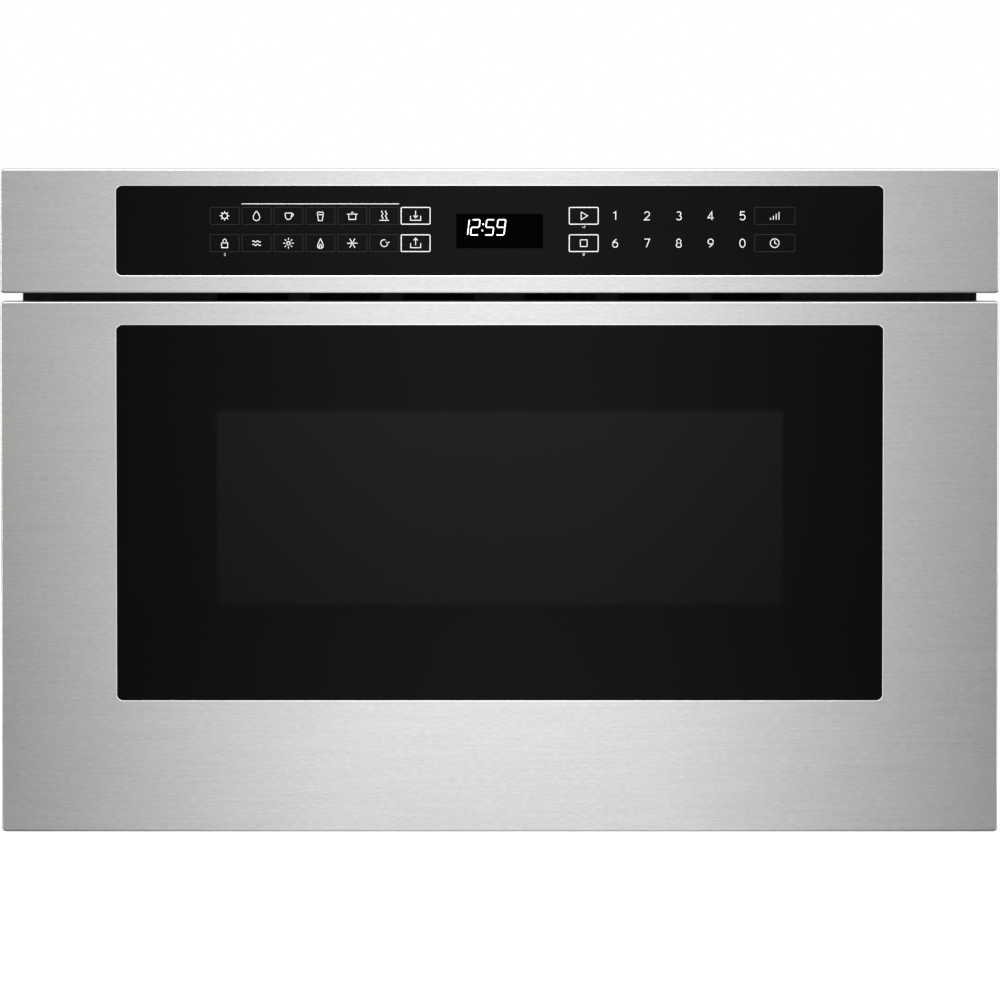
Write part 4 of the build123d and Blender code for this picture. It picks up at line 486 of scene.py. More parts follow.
def control_black_glass(settings):
    """Touch glass printed black on its back: deep black, with painted light that makes it a little lighter
    towards its middle.
    """
    made = Finish("control_black_glass", IOR=1.5, Specular_IOR_Level=0.02)
    haze = made.clouds(180, 180, 60)
    # Painted light: the glass is lighter towards its middle; depth adds this painted light to the haze.
    middle = made.add("Math", made.near_middle(), 0.85, operation="MULTIPLY")
    depth = made.add("Math", haze, 0.25, middle, operation="MULTIPLY_ADD")
    return made.done(
        tone=(depth, shade(settings.glass, 0.9), shade(settings.glass, 2.3)), rough=(haze, 0.05, 0.08)
    )


def powder_coat(name, rgb, grit=1.2):
    """Baked powder coat: satin, with a fine orange-peel surface."""
    made = Finish(name, IOR=1.5, Specular_IOR_Level=0.12)
    peel = made.clouds(grit, grit, grit)
    return made.done(
        tone=(made.clouds(60, 60, 60), shade(rgb, 0.82), shade(rgb, 1.2)),
        rough=(peel, 0.38, 0.5),
        relief=(peel, 0.05, 0.4),
    )


def moulded_plastic(name, rgb, grit=0.7, low=0.45, high=0.6, shine=0.35):
    """Injection-moulded plastic with a spark-eroded grain."""
    made = Finish(name, IOR=1.46, Specular_IOR_Level=shine)
    grain = made.clouds(grit, grit, grit, detail=3, roughness=0.6)
    return made.done(
        tone=(made.clouds(90, 90, 40), shade(rgb, 0.88), shade(rgb, 1.12)),
        rough=(grain, low, high),
        relief=(grain, 0.04, 0.5),
    )


def galvanised_sheet():
    """Hot-dip galvanised steel: interlocking zinc crystals about 5 mm across under a dull chromate film."""
    # The film dulls the zinc, so a third of the surface scatters like paint.
    made = Finish("galvanised_sheet", Metallic=0.65)
    zinc = made.joined(made.crystals(5, 5, 5, spread=0.9), 0.5, made.clouds(30, 30, 30, detail=4))
    return made.done(tone=(zinc, linear("909395"), linear("aaadae")), rough=(zinc, 0.46, 0.58, 0.0, 1.0))


def zinc_plate(name, low="a9acaa", high="c6c8c4"):
    """Cold-rolled steel with bright zinc plate: smooth, faintly clouded, with fine rolling lines."""
    made = Finish(name, Metallic=1.0)
    zinc = made.joined(made.clouds(22, 22, 22, detail=3), 0.6, made.clouds(40, 40, 0.8))
    return made.done(tone=(zinc, linear(low), linear(high)), rough=(zinc, 0.22, 0.36))


def baked_cavity_paint(settings):
    """Baked oven paint: smooth, pale grey, with a fine darker fleck."""
    made = Finish("baked_cavity_paint", IOR=1.5, Specular_IOR_Level=0.4)
    fleck = made.add("MapRange", made.clouds(1.1, 1.1, 1.1, detail=1), 0.62, 0.7)
    clouds = made.clouds(120, 120, 120)
    paint = settings.cavity
    base = made.add("Mix", clouds, shade(paint, 0.93), shade(paint, 1.05), data_type="RGBA")
    return made.done(tone=(fleck, base, shade(paint, 0.6)), rough=(clouds, 0.3, 0.4))


def coated_pan(settings):
    """Pressed steel with a non-stick coat: dark grey with a light mineral fleck."""
    made = Finish("coated_pan", IOR=1.4, Specular_IOR_Level=0.4)
    fleck = made.add("MapRange", made.clouds(1.3, 1.3, 1.3, detail=1), 0.64, 0.7)
    clouds = made.clouds(50, 50, 50)
    base = made.add("Mix", clouds, shade(settings.pan, 0.85), shade(settings.pan, 1.1), data_type="RGBA")
    return made.done(
        tone=(fleck, base, linear("8f8d86")),
        rough=(clouds, 0.32, 0.42),
        relief=(fleck, 0.03, 0.4),
    )


def glass_ceramic():
    """White glass ceramic: glossy, opal, with a very faint rolled texture."""
    return clouded(
        "glass_ceramic", (40, 40, 40), linear("e6e4de"), linear("f2f1ec"), (0.12, 0.2), (0.05, 0.2), IOR=1.53
    )


def clear_pane():
    """Thin clear pane with a trace of green at its thickness."""
    return clouded(
        "clear_pane", (90, 90, 60), linear("dfe6e3"), linear("eef2f0"), (0.02, 0.05),
        IOR=1.5, Transmission_Weight=0.92, Specular_IOR_Level=0.4,
    )


def mica_board():
    """Pressed mica: flaky, pearly beige plates about 6 mm wide."""
    made = Finish("mica_board", IOR=1.56)
    flakes = made.crystals(6, 4, 6)
    return made.done(tone=(flakes, linear("b7a684"), linear("cfc2a4")), rough=(flakes, 0.3, 0.5, 0.0, 1.0))


def rolled_aluminium(name, axis):
    """Rolled aluminium sheet: pale, soft, with rolling lines 0.8 mm apart along one axis."""
    size = [0.8 if i == axis else 50 for i in range(3)]
    return clouded(name, size, linear("c0c2c3"), linear("dcdddd"), (0.28, 0.42), detail=3, Metallic=1.0)


def laminated_steel(name, axis, copper, stack=None):
    """Stack of varnished steel laminations, each drawn 1 mm thick, with copper coils outside the stack."""
    made = Finish(name, Roughness=0.45)
    along = made.add("SeparateXYZ", made.place, take=axis)
    sheet = made.add("Math", made.add("Math", along, 1 / MM, operation="MULTIPLY"), operation="FRACT")
    seam = made.within(sheet, 0.35, 0.65, 0.2)
    stain = made.clouds(16, 16, 16, detail=3)
    steel = made.add("Mix", stain, linear("3a3734"), linear("565250"), data_type="RGBA")
    iron = made.add("Mix", seam, linear("1f1d1b"), steel, data_type="RGBA")
    if stack:
        outside = made.add("Math", 1.0, made.within(along, *stack, 0.2 * MM), operation="SUBTRACT")
        iron = made.add("Mix", outside, iron, shade(copper), data_type="RGBA")
    made.feed("Base Color", iron)
    made.feed("Metallic", made.add("MapRange", stain, 0.3, 0.7, 0.35, 0.6))
    return made.done(relief=(seam, 0.08, 0.5))


def enamelled_wire(settings):
    """Copper wire with amber enamel: glossy and warm, a little uneven from turn to turn."""
    first, second = shade(settings.copper, 0.8), shade(settings.copper, 1.25)
    return clouded(
        "enamelled_wire", (12, 12, 1.6), first, second, (0.22, 0.36), detail=3, Metallic=0.85, Coat_Weight=0.4
    )


def drawn_can():
    """Drawn aluminium can: vertical drawing lines and a satin shine."""
    first, second = linear("b0b2b3"), linear("d0d2d2")
    return clouded("drawn_can", (0.9, 0.9, 60), first, second, (0.25, 0.4), detail=3, Metallic=1.0)


def circuit_board(name, component_face):
    """Glass-fibre board: green resist over copper tracks, and dark plastic parts behind its face."""
    # Tracks follow the joints of bricks of 6 by 3 mm; the parts' colours change every 26 mm.
    made = Finish(name, Roughness=0.4, IOR=1.5)
    x, y, z = (made.add("SeparateXYZ", made.place, take=axis) for axis in "XYZ")
    flat = made.add("Mapping", made.add("CombineXYZ", x, z), Scale=[1000 / size for size in (6, 4, 6)])
    tracks = made.add(
        "TexBrick", flat, Scale=1.0, Mortar_Size=0.12, Mortar_Smooth=0.1, Row_Height=0.5, Brick_Width=1.0,
        take="Fac",
    )
    board = made.add("Mix", tracks, linear("1f5a2e"), linear("2f7a40"), data_type="RGBA")
    chosen = made.add("MapRange", made.crystals(26, 200, 60), 0.45, 0.55)
    fitted = made.add("Mix", chosen, linear("26282b"), linear("2c4a73"), data_type="RGBA")
    behind = made.add("MapRange", y, component_face, component_face + 0.2 * MM)
    return made.done(tone=(behind, board, fitted), relief=(tracks, 0.04, 0.5))


def perforated_steel():
    """Black-coated screen sheet: punched holes 1.2 mm across, 2 mm apart."""
    made = Finish("perforated_steel", Roughness=0.4, Metallic=0.3)
    web = made.add("MapRange", made.punched(), 0.1, 0.35, 1.0, 0.0)
    return made.done(tone=(web, linear("050505"), linear("2a2a2a")), relief=(web, 0.2, 0.6))


def cast_silicone():
    """Moulded silicone rubber: matt, slightly dusty."""
    return clouded(
        "cast_silicone", (3, 3, 3), linear("161616"), linear("242424"), (0.6, 0.75), (0.05, 0.3),
        detail=4, IOR=1.43, Specular_IOR_Level=0.3,
    )


def screen_ink(name, rgb):
    """Screen-printed enamel ink: opaque, with a slightly uneven film."""
    first, second = shade(rgb, 0.9), shade(rgb, 1.06)
    return clouded(name, (0.6, 0.6, 0.6), first, second, (0.4, 0.55), IOR=1.45, Specular_IOR_Level=0.1)


def lit_bar(settings):
    """Lit bar of the clock: an even white light, with a trace of unevenness in its film."""
    made = Finish("lit_bar", Roughness=0.5, Specular_IOR_Level=0.1, Emission_Strength=settings.glow)
    film = made.clouds(0.8, 0.8, 0.8)
    light = made.add("Mix", film, shade(settings.light, 0.92), shade(settings.light), data_type="RGBA")
    made.feed("Base Color", light)
    made.feed("Emission Color", light)
    return made.done()


def clock_lens():
    """Smoked acrylic lens of the clock: deeper black than the glass round it."""
    return clouded(
        "clock_lens", (20, 20, 8), linear("000000"), linear("020202"), (0.06, 0.1),
        IOR=1.49, Specular_IOR_Level=0.003,
    )


def coat(material, *nodes):
    """Gives a finish to CAD nodes through their own material slots."""
    for node in nodes:
        for holder in frame["nodes"][node].material_slots:
            holder.material = material


def both(name):
    """The right and the left node of a pair."""
    return name + "_right", name + "_left"


# -------- operators: finishes of the CAD nodes
class DRAWER_OT_finish_fronts(bpy.types.Operator):
    """Brushed steel, black glass and the clock's lens on the fronts"""
    bl_idname = "drawer.finish_fronts"
    bl_label = "Finish Fronts"

    def execute(self, context):
        settings = context.scene.drawer_finishes
        coat(brushed_stainless(settings), "drawer_front_panel", "control_fascia")
        low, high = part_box("perforated_screen")
        rim = Vector((SCREEN_MARGIN, 0.0, SCREEN_MARGIN))
        coat(window_black_glass(settings, low + rim, high - rim), "window_glass")
        coat(control_black_glass(settings), "control_glass")
        coat(perforated_steel(), "perforated_screen")
        coat(clear_pane(), "inner_window")
        coat(clock_lens(), "display_module")
        return {"FINISHED"}


class DRAWER_OT_finish_chassis(bpy.types.Operator):
    """Galvanised sheet, powder coat and rubber on the chassis"""
    bl_idname = "drawer.finish_chassis"
    bl_label = "Finish Chassis"

    def execute(self, context):
        settings = context.scene.drawer_finishes
        coat(
            galvanised_sheet(), "base_pan", "outer_cover", "rear_panel", "cavity_supports",
            "waveguide", "slide_supports", "rack_guide",
        )
        coat(
            powder_coat("black_powder_coat", settings.black_paint), "front_frame", "door_frame",
            *both("mounting_flange"), *both("door_bracket"),
        )
        coat(cast_silicone(), "cord_gland")
        return {"FINISHED"}


class DRAWER_OT_finish_oven(bpy.types.Operator):
    """Cavity paint, pan coating, ceramic and mica of the oven"""
    bl_idname = "drawer.finish_oven"
    bl_label = "Finish Oven"

    def execute(self, context):
        settings = context.scene.drawer_finishes
        coat(baked_cavity_paint(settings), "oven_cavity")
        coat(coated_pan(settings), "drawer_pan")
        coat(glass_ceramic(), "ceramic_plate")
        coat(mica_board(), "stirrer_cover")
        return {"FINISHED"}


class DRAWER_OT_finish_mouldings(bpy.types.Operator):
    """Moulded plastics: carriers, ducts, fan, gears and switches"""
    bl_idname = "drawer.finish_mouldings"
    bl_label = "Finish Mouldings"

    def execute(self, context):
        settings = context.scene.drawer_finishes
        abs_resin = moulded_plastic("black_abs", settings.black_plastic, shine=0.12)
        coat(
            abs_resin, "front_vent_strip", "door_carrier", "control_housing", "choke_cover", "air_duct",
            "exhaust_duct", "fan_shroud",
        )
        acetal = moulded_plastic("black_acetal", linear("1d1d1e"), 0.9, 0.3, 0.42)
        coat(acetal, "latch_hooks", "interlock_switches")
        coat(moulded_plastic("white_acetal", linear("dedcd4"), 0.9, 0.28, 0.4), "drive_pinion", "drive_rack")
        coat(moulded_plastic("grey_polypropylene", linear("a9adaf"), 0.8, 0.4, 0.5), "fan_blade")
        coat(
            moulded_plastic("cream_polyester", linear("d8d4c6"), 0.8, 0.4, 0.55), "stirrer_motor",
            "humidity_sensor", "oven_lamp", "thermal_cutouts",
        )
        coat(moulded_plastic("black_epoxy", linear("202124"), 0.5, 0.3, 0.45), "high_voltage_diode")
        return {"FINISHED"}


class DRAWER_OT_finish_works(bpy.types.Operator):
    """Metals and boards of the electrical parts and the running gear"""
    bl_idname = "drawer.finish_works"
    bl_label = "Finish Works"

    def execute(self, context):
        copper = context.scene.drawer_finishes.copper
        coat(rolled_aluminium("finned_aluminium", 2), "magnetron")
        coat(rolled_aluminium("stirrer_aluminium", 1), "stirrer_fan")
        low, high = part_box("high_voltage_transformer")
        middle = (low.y + high.y) / 2
        stack = (middle - STACK_HALF, middle + STACK_HALF)
        coat(laminated_steel("transformer_laminations", "Y", copper, stack), "high_voltage_transformer")
        coat(laminated_steel("motor_laminations", "X", copper), "fan_motor")
        coat(drawn_can(), "high_voltage_capacitor")
        board_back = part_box("display_module")[1].y + BOARD
        coat(circuit_board("control_circuit_board", board_back), "control_board")
        filter_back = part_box("noise_filter_board")[0].y + FILTER_STUDS + BOARD
        coat(circuit_board("filter_circuit_board", filter_back), "noise_filter_board")
        slides = [node for part in ("outer", "middle", "inner") for node in both("slide_" + part)]
        coat(zinc_plate("zinc_plated_slides"), *slides)
        coat(zinc_plate("zinc_plated_motor", "9fa2a2", "b9bbb9"), "drive_motor")
        cages = [node for part in ("outer", "inner") for node in both("ball_cage_" + part)]
        coat(zinc_plate("bright_balls", "c2c4c6", "e0e1e2"), *cages)
        return {"FINISHED"}


# -------- operators: fronts
class DRAWER_OT_add_trims(bpy.types.Operator):
    """Polished strip round the window and round the touch glass"""
    bl_idname = "drawer.add_trims"
    bl_label = "Add Glass Trims"

    def execute(self, context):
        settings = context.scene.drawer_trims
        material = polished_steel(settings)
        for name, node, body in (
            ("window_trim", "window_glass", "drawer"),
            ("control_trim", "control_glass", "cabinet"),
        ):
            low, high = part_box(node)
            middle = (low + high) / 2
            loop, normal = rounded_loop(
                (high.x - low.x) / 2 + settings.reach, (high.z - low.z) / 2 + settings.reach,
                settings.corner, steps=10,
            )
            # Crown: across = -w t, height = c sin(pi t), for t from 0 at the steel to 1 on the glass.
            t = np.linspace(0, 1, 7)
            x, z, rise = loop_band(loop, normal, -settings.width * t, settings.crown * np.sin(np.pi * t))
            points = np.stack([x + middle.x, low.y - TRIM_AHEAD - rise, z + middle.z], -1)
            make_piece(
                name, points, grid_faces(len(loop), len(t), closed_rows=True)[:, ::-1],
                body, material,
            )
        return {"FINISHED"}


def key_places(settings):
    """Middles of the printed keys: twelve on the left, four main keys and two on the right; and the rows."""
    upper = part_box("control_glass")[0].z + settings.upper_row
    rows = (upper, upper - settings.row_gap)
    left = [(-settings.first + i * settings.pitch, z) for z in rows for i in range(6)]
    main = [(x, z) for x in (-settings.main_place, settings.main_place) for z in rows]
    right = [(settings.side_place, z) for z in rows]
    return left, main, right, rows


class DRAWER_OT_add_key_outlines(bpy.types.Operator):
    """Printed outlines of the keys and the line above the sensor keys"""
    bl_idname = "drawer.add_key_outlines"
    bl_label = "Add Key Outlines"

    def execute(self, context):
        settings = context.scene.drawer_keys
        left, main, right, rows = key_places(settings)
        white = screen_ink("white_ink", settings.white)
        grey = screen_ink("grey_ink", settings.grey)

        def outline(centre, width, line):
            loop, _ = rounded_loop(
                width / 2 - line / 2, settings.height / 2 - line / 2, settings.corner, steps=4
            )
            return stroke(loop + np.array(centre), line, closed=True)

        faint = [outline(c, settings.width, settings.faint_line) for c in left]
        faint += [outline(c, settings.side_width, settings.faint_line) for c in right]
        print_on("faint_key_outlines", faint, grey)
        bright = [outline(c, settings.main_width, settings.bright_line) for c in main]
        z = rows[0] + settings.height / 2 + settings.overline
        start = left[1][0] - settings.width / 2
        bright.append(stroke([(start, z), (left[5][0] + settings.width / 2, z)], settings.over_line))
        print_on("main_key_outlines", bright, white)
        return {"FINISHED"}


def lines(*paths):
    """Paths from pairs of numbers."""
    return [np.array(path, float) for path in paths]


def joined_path(*parts):
    """Points and paths as one path."""
    return np.concatenate([np.atleast_2d(np.array(part, float)) for part in parts])


def rays(inner, outer, count):
    """Short strokes round a middle, from the inner to the outer radius."""
    angles = np.arange(count) * 2 * np.pi / count
    return [np.array([[inner], [outer]]) * (np.cos(a), np.sin(a)) for a in angles]


def leaf(width, height, power):
    """Closed drop: (w sin t sin(t / 2) ** p, h cos t), pointed at its top."""
    t = np.linspace(0, 2 * np.pi, 26)
    return np.stack([width * np.sin(t) * np.sin(t / 2) ** power, height * np.cos(t)], -1)


def wave(x, y, upright):
    """Two periods of a sine 0.13 high on a line 1.5 long, across or upright through (x, y)."""
    t = np.linspace(-0.75, 0.75, 22)
    swing = 0.13 * np.sin(t * 8.4)
    return np.stack([x + swing, y + t] if upright else [x + t, y + swing], -1)


def key_signs():
    """Generic signs for the keys as paths that reach about one unit from the middle: strokes and arcs."""
    gear = [arc(0, 0, 0.5, 0, 360)] + rays(0.58, 0.84, 8)
    cup = [
        joined_path((-0.6, 0.5), arc(0, -0.1, 0.55, 200, 340), (0.6, 0.5)),
        arc(0.6, 0.18, 0.27, -90, 90, 10), *lines([(-0.6, 0.5), (0.6, 0.5)]),
    ]
    corn = lines([(-0.5, 0.2), (-0.34, -0.85), (0.34, -0.85), (0.5, 0.2), (-0.5, 0.2)]) + [
        arc(-0.27, 0.42, 0.27, 30, 230, 12), arc(0.27, 0.42, 0.27, -50, 150, 12),
    ]
    pot = lines(
        [(-0.65, 0.25), (-0.6, -0.65), (0.6, -0.65), (0.65, 0.25)], [(-0.95, 0.3), (0.95, 0.3)],
        [(-0.2, 0.62), (0.2, 0.62)],
    )
    steam = [wave(-0.35, 0.15, True), wave(0.35, 0.15, True)] + lines([(-0.85, -0.8), (0.85, -0.8)])
    lock = lines([(-0.55, 0.05), (0.55, 0.05), (0.55, -0.8), (-0.55, -0.8), (-0.55, 0.1)]) + [
        arc(0, 0.05, 0.34, 0, 180, 14, 2.0),
    ]
    soften = [wave(0, 0.3, False), wave(0, -0.3, False)]
    warm = [arc(0, 0, 0.3, 0, 360)] + rays(0.6, 0.95, 8)
    flame = [leaf(0.8, 0.95, 2.2), leaf(0.3, 0.4, 1.5) - (0, 0.5)]
    crystal = [joined_path(-ray[::-1], ray) for ray in rays(0.02, 0.92, 6)[:3]]
    again = [arc(0, 0, 0.62, 70, 360, 26)] + lines([(0.32, 0.22), (0.62, -0.02), (0.92, 0.26)])
    tray = [(-0.9, 0.0), (-0.9, -0.8), (0.9, -0.8), (0.9, 0.0)]
    opens = lines(tray, [(0, 0.9), (0, -0.35)], [(-0.38, 0.05), (0, -0.38), (0.38, 0.05)])
    closes = lines(tray, [(0, -0.35), (0, 0.9)], [(-0.38, 0.5), (0, 0.92), (0.38, 0.5)])
    starts = lines([(-0.45, 0.7), (0.7, 0.0), (-0.45, -0.7), (-0.45, 0.72)])
    stops = lines([(-0.6, 0.6), (0.6, 0.6), (0.6, -0.6), (-0.6, -0.6), (-0.6, 0.62)])
    bars = ((-0.75, 0.35), (-0.25, 0.7), (0.25, 1.05), (0.75, 1.4))
    power = lines(*[[(x, -0.7), (x, -0.7 + height)] for x, height in bars])
    clock = [arc(0, 0, 0.78, 0, 360)] + lines([(0, 0.5), (0, 0), (0.36, -0.18)])
    upper = [gear, [leaf(0.75, 0.85, 1.0)], cup, corn, pot, steam]
    lower = [lock, soften, warm, flame, crystal, again]
    return upper + lower, [opens, closes, starts, stops], [power, clock]


class DRAWER_OT_add_key_signs(bpy.types.Operator):
    """Generic signs on the keys"""
    bl_idname = "drawer.add_key_signs"
    bl_label = "Add Key Signs"

    def execute(self, context):
        settings = context.scene.drawer_keys
        places = key_places(settings)[:3]
        strokes = []
        for centres, signs in zip(places, key_signs()):
            for centre, sign in zip(centres, signs):
                strokes += [
                    stroke(path * settings.sign + np.array(centre), settings.sign_line) for path in sign
                ]
        print_on("key_signs", strokes, bpy.data.materials["white_ink"])
        return {"FINISHED"}


def digit_strokes():
    """Plain digits and a plus sign as strokes in a box one unit high, standing on zero, centred across."""
    return {
        "0": [arc(0, 0.5, 0.3, 0, 360, 32, 1.57)],
        "1": lines([(-0.2, 0.8), (0.06, 0.97), (0.06, 0.03)]),
        "2": [joined_path(arc(0, 0.69, 0.28, 165, -30, 16), (-0.3, 0.03), (0.31, 0.03))],
        "3": [arc(0, 0.73, 0.24, 150, -90, 16), arc(0, 0.26, 0.29, 90, -155, 18, 0.8)],
        "4": lines([(0.14, 0.03), (0.14, 0.97), (-0.31, 0.27), (0.33, 0.27)]),
        "5": [joined_path([(0.25, 0.97), (-0.2, 0.97), (-0.25, 0.56)], arc(0, 0.33, 0.3, 125, -150, 20))],
        "6": [arc(0, 0.32, 0.29, 0, 360, 28), joined_path((0.14, 0.97), arc(0.13, 0.4, 0.42, 135, 185, 8))],
        "7": lines([(-0.29, 0.97), (0.3, 0.97), (-0.08, 0.03)]),
        "8": [arc(0, 0.73, 0.235, 0, 360, 26), arc(0, 0.27, 0.29, 0, 360, 28, 0.84)],
        "9": [arc(0, 0.68, 0.29, 0, 360, 28), joined_path((-0.14, 0.03), arc(-0.13, 0.6, 0.42, -45, 5, 8))],
        "+": lines([(-0.28, 0.42), (0.28, 0.42)], [(0, 0.14), (0, 0.7)]),
    }


class DRAWER_OT_add_digits(bpy.types.Operator):
    """Printed digits 0 to 9 and the small numbers under three keys"""
    bl_idname = "drawer.add_digits"
    bl_label = "Add Digits"

    def execute(self, context):
        settings = context.scene.drawer_keys
        left, main, _, rows = key_places(settings)
        strokes = []

        def write(text, x, foot, height, line):
            spacing = height * 0.75
            for i, sign in enumerate(text):
                middle = np.array([x + (i - (len(text) - 1) / 2) * spacing, foot])
                for path in digit_strokes()[sign]:
                    strokes.append(stroke(path * height + middle, line))

        for row, digits in zip(rows, ("12345", "67890")):
            for i, digit in enumerate(digits):
                x = settings.first_digit + i * settings.digit_pitch
                write(digit, x, row - settings.digit_height / 2, settings.digit_height, settings.digit_line)
        small = settings.small_digit
        below = settings.height / 2 + 1.5 * small
        for centre, text in ((left[6], "3"), (main[2], "+1"), (main[3], "0")):
            write(text, centre[0], centre[1] - below, small, line=small * 0.17)
        print_on("key_digits", strokes, bpy.data.materials["white_ink"])
        return {"FINISHED"}


# Bars of a seven-bar digit: top, upper right, lower right, bottom, lower left, upper left, middle.
LIT_BARS = {"1": (1, 2), "2": (0, 1, 6, 4, 3), "5": (0, 5, 6, 2, 3), "9": (0, 1, 2, 3, 5, 6)}
# The clock's digits with their middles, right of the panel's middle, in millimetres.
CLOCK_DIGITS = (("1", -21.3), ("2", -14.8), ("5", -6.0), ("9", 0.8))
COLON = (-10.3, 1.9, 0.5)   # its place, how far a dot is from the digits' middle, and a dot's radius


def clock_bar(index, width, height, bar):
    """Corners of one bar as a flat hexagon between two of the digit's six joints."""
    joints = np.array([(-1, 1), (1, 1), (1, 0), (1, -1), (-1, -1), (-1, 0)], float) * (width / 2, height / 2)
    ends = ((0, 1), (1, 2), (2, 3), (3, 4), (4, 5), (5, 0), (5, 2))[index]
    start, end = joints[ends[0]], joints[ends[1]]
    along = (end - start) / np.linalg.norm(end - start)
    side = np.array([-along[1], along[0]]) * bar / 2
    gap = along * bar * 0.12
    start, end = start + gap, end - gap
    cut = along * bar / 2
    return np.array([start, start + cut + side, end - cut + side, end, end - cut - side, start + cut - side])


class DRAWER_OT_add_clock(bpy.types.Operator):
    """Lit seven-bar clock on its dark lens"""
    bl_idname = "drawer.add_clock"
    bl_label = "Add Clock"

    def execute(self, context):
        settings = context.scene.drawer_clock
        low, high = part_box("display_module")
        middle = np.array([low.x + high.x, low.z + high.z]) / 2
        half = np.array([high.x - low.x, high.z - low.z]) / 2 + settings.margin
        loop, _ = rounded_loop(*half, radius=0.4 * MM, steps=3)
        print_on(
            "clock_lens", [fan(loop + middle, middle)], bpy.data.materials["clock_lens"],
            LENS_BEHIND,
        )
        # Slant: a point at height z over the digits' middle moves z tan(slant) to the right.
        lean = math.tan(settings.slant)
        rise = middle[1] + settings.rise
        size = (settings.width - settings.bar, settings.height - settings.bar, settings.bar)
        bars = []
        for digit, x in CLOCK_DIGITS:
            for index in LIT_BARS[digit]:
                corners = clock_bar(index, *size)
                corners += np.stack([corners[:, 1] * lean + x * MM, np.full(6, rise)], -1)
                bars.append((corners, np.array([[0, 1, 2, 3], [0, 3, 4, 5]])))
        x, apart, radius = (value * MM for value in COLON)
        dots = [arc(x + z * lean, rise + z, radius, 0, 330, 12) for z in (-apart, apart)]
        material = lit_bar(settings)
        print_on("clock_digits", bars, material)
        print_on("clock_colon", [fan(dot, dot.mean(0)) for dot in dots], material)
        return {"FINISHED"}


# -------- operators: screws and windings
def screw_field(places, normal, settings):
    """Pan-head screws with a cross recess as points and faces.

    A head's profile lies close to (r / R) ** 3.3 + (h / H) ** 3.3 = 1, and its middle sinks to a four-lobed
    recess r = R (0.3 + 0.12 cos 4 a).
    """
    sides = 16
    angle = np.linspace(0, 2 * np.pi, sides, endpoint=False)
    lobes = 0.30 + 0.12 * np.cos(4 * angle)
    profile = (
        (1.0, 0.0), (0.98, 0.45), (0.8, 0.82), (0.5, 0.98), (lobes, 1.0), (lobes * 0.8, 0.3), (0.02, 0.2),
    )
    radius = np.stack([r * np.ones(sides) for r, _ in profile]) * settings.head / 2
    rise = np.stack([np.full(sides, up) for _, up in profile]) * settings.rise
    axis = int(np.argmax(np.abs(normal)))
    head = np.zeros(radius.shape + (3,))
    head[..., (axis + 1) % 3] = radius * np.cos(angle)
    head[..., (axis + 2) % 3] = radius * np.sin(angle)
    head[..., axis] = rise * normal[axis]
    head = head.reshape(-1, 3)
    faces = grid_faces(len(profile), sides, closed_columns=True)
    if normal[axis] < 0:
        faces = faces[:, ::-1]
    points = head + np.asarray(places, float)[:, None, :]
    shift = np.arange(len(places))[:, None, None] * len(head)
    return points.reshape(-1, 3), (faces + shift).reshape(-1, 4)


def row_of(start, end, settings):
    """Even places from start to end, no farther apart than the screws' pitch."""
    return np.linspace(start, end, int(np.ceil((end - start) / settings.pitch)) + 1)


def screw_groups(settings):
    """Screws as (name, side that the heads face, places): the cover's sides and top, and the front frame."""
    edge = settings.edge
    corner = 3 * edge           # from a corner to the first screw of a row
    low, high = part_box("outer_cover")
    rear = high.y - edge
    foot = [(y, low.z + edge) for y in row_of(low.y + corner, rear - edge, settings)]
    upright = [(rear, z) for z in row_of(low.z + 5 * edge, high.z - 2 * edge, settings)]
    crest = [(x, rear, high.z) for x in row_of(low.x + corner, high.x - corner, settings)]
    plate_low, plate_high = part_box("front_frame")
    side_place = plate_high.x - settings.frame_side
    frame = [
        (x, plate_low.y, plate_low.z + rise)
        for x in (-side_place, side_place) for rise in (corner, settings.frame_upper)
    ]
    return (
        ("cover_screws_right", (1, 0, 0), [(high.x, y, z) for y, z in foot + upright]),
        ("cover_screws_left", (-1, 0, 0), [(low.x, y, z) for y, z in foot + upright]),
        ("cover_screws_top", (0, 0, 1), crest),
        ("frame_screws", (0, -1, 0), frame),
    )


class DRAWER_OT_add_screws(bpy.types.Operator):
    """Screws of the cover and of the front frame"""
    bl_idname = "drawer.add_screws"
    bl_label = "Add Screws"

    def execute(self, context):
        settings = context.scene.drawer_screws
        material = zinc_plate("zinc_plated_screws")
        for name, side, places in screw_groups(settings):
            points, faces = screw_field(places, np.array(side, float), settings)
            make_piece(name, points, faces, "cabinet", material)
        return {"FINISHED"}


# Where each coil starts and ends above the transformer's foot, in millimetres.
COILS = (("lower_winding", 17.0, 41.5), ("upper_winding", 44.5, 69.0))


class DRAWER_OT_add_windings(bpy.types.Operator):
    """Wound copper wire on the transformer's two coils"""
    bl_idname = "drawer.add_windings"
    bl_label = "Add Windings"

    def execute(self, context):
        settings = context.scene.drawer_windings
        material = enamelled_wire(context.scene.drawer_finishes)
        low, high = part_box("high_voltage_transformer")
        middle = (low + high) / 2
        # The wire climbs in waves: it stands out by bulge |sin(pi t)| for t turns, six points to a turn.
        loop, normal = rounded_loop(LEG_HALF + COIL_WALL, STACK_HALF + COIL_WALL, COIL_CORNER)
        for name, start, end in COILS:
            tall = (end - start) * MM
            turns = int(tall / settings.wire)
            t = np.linspace(0, turns, turns * 6 + 1)
            up = low.z + TRANSFORMER_FOOT + start * MM + tall * t / turns
            x, y, z = loop_band(loop, normal, settings.bulge * np.abs(np.sin(np.pi * t)), up)
            points = np.stack([x + middle.x, y + middle.y, z], -1)
            faces = grid_faces(len(loop), len(t), closed_rows=True)
            make_piece(name, points, faces, "cabinet", material)
        return {"FINISHED"}


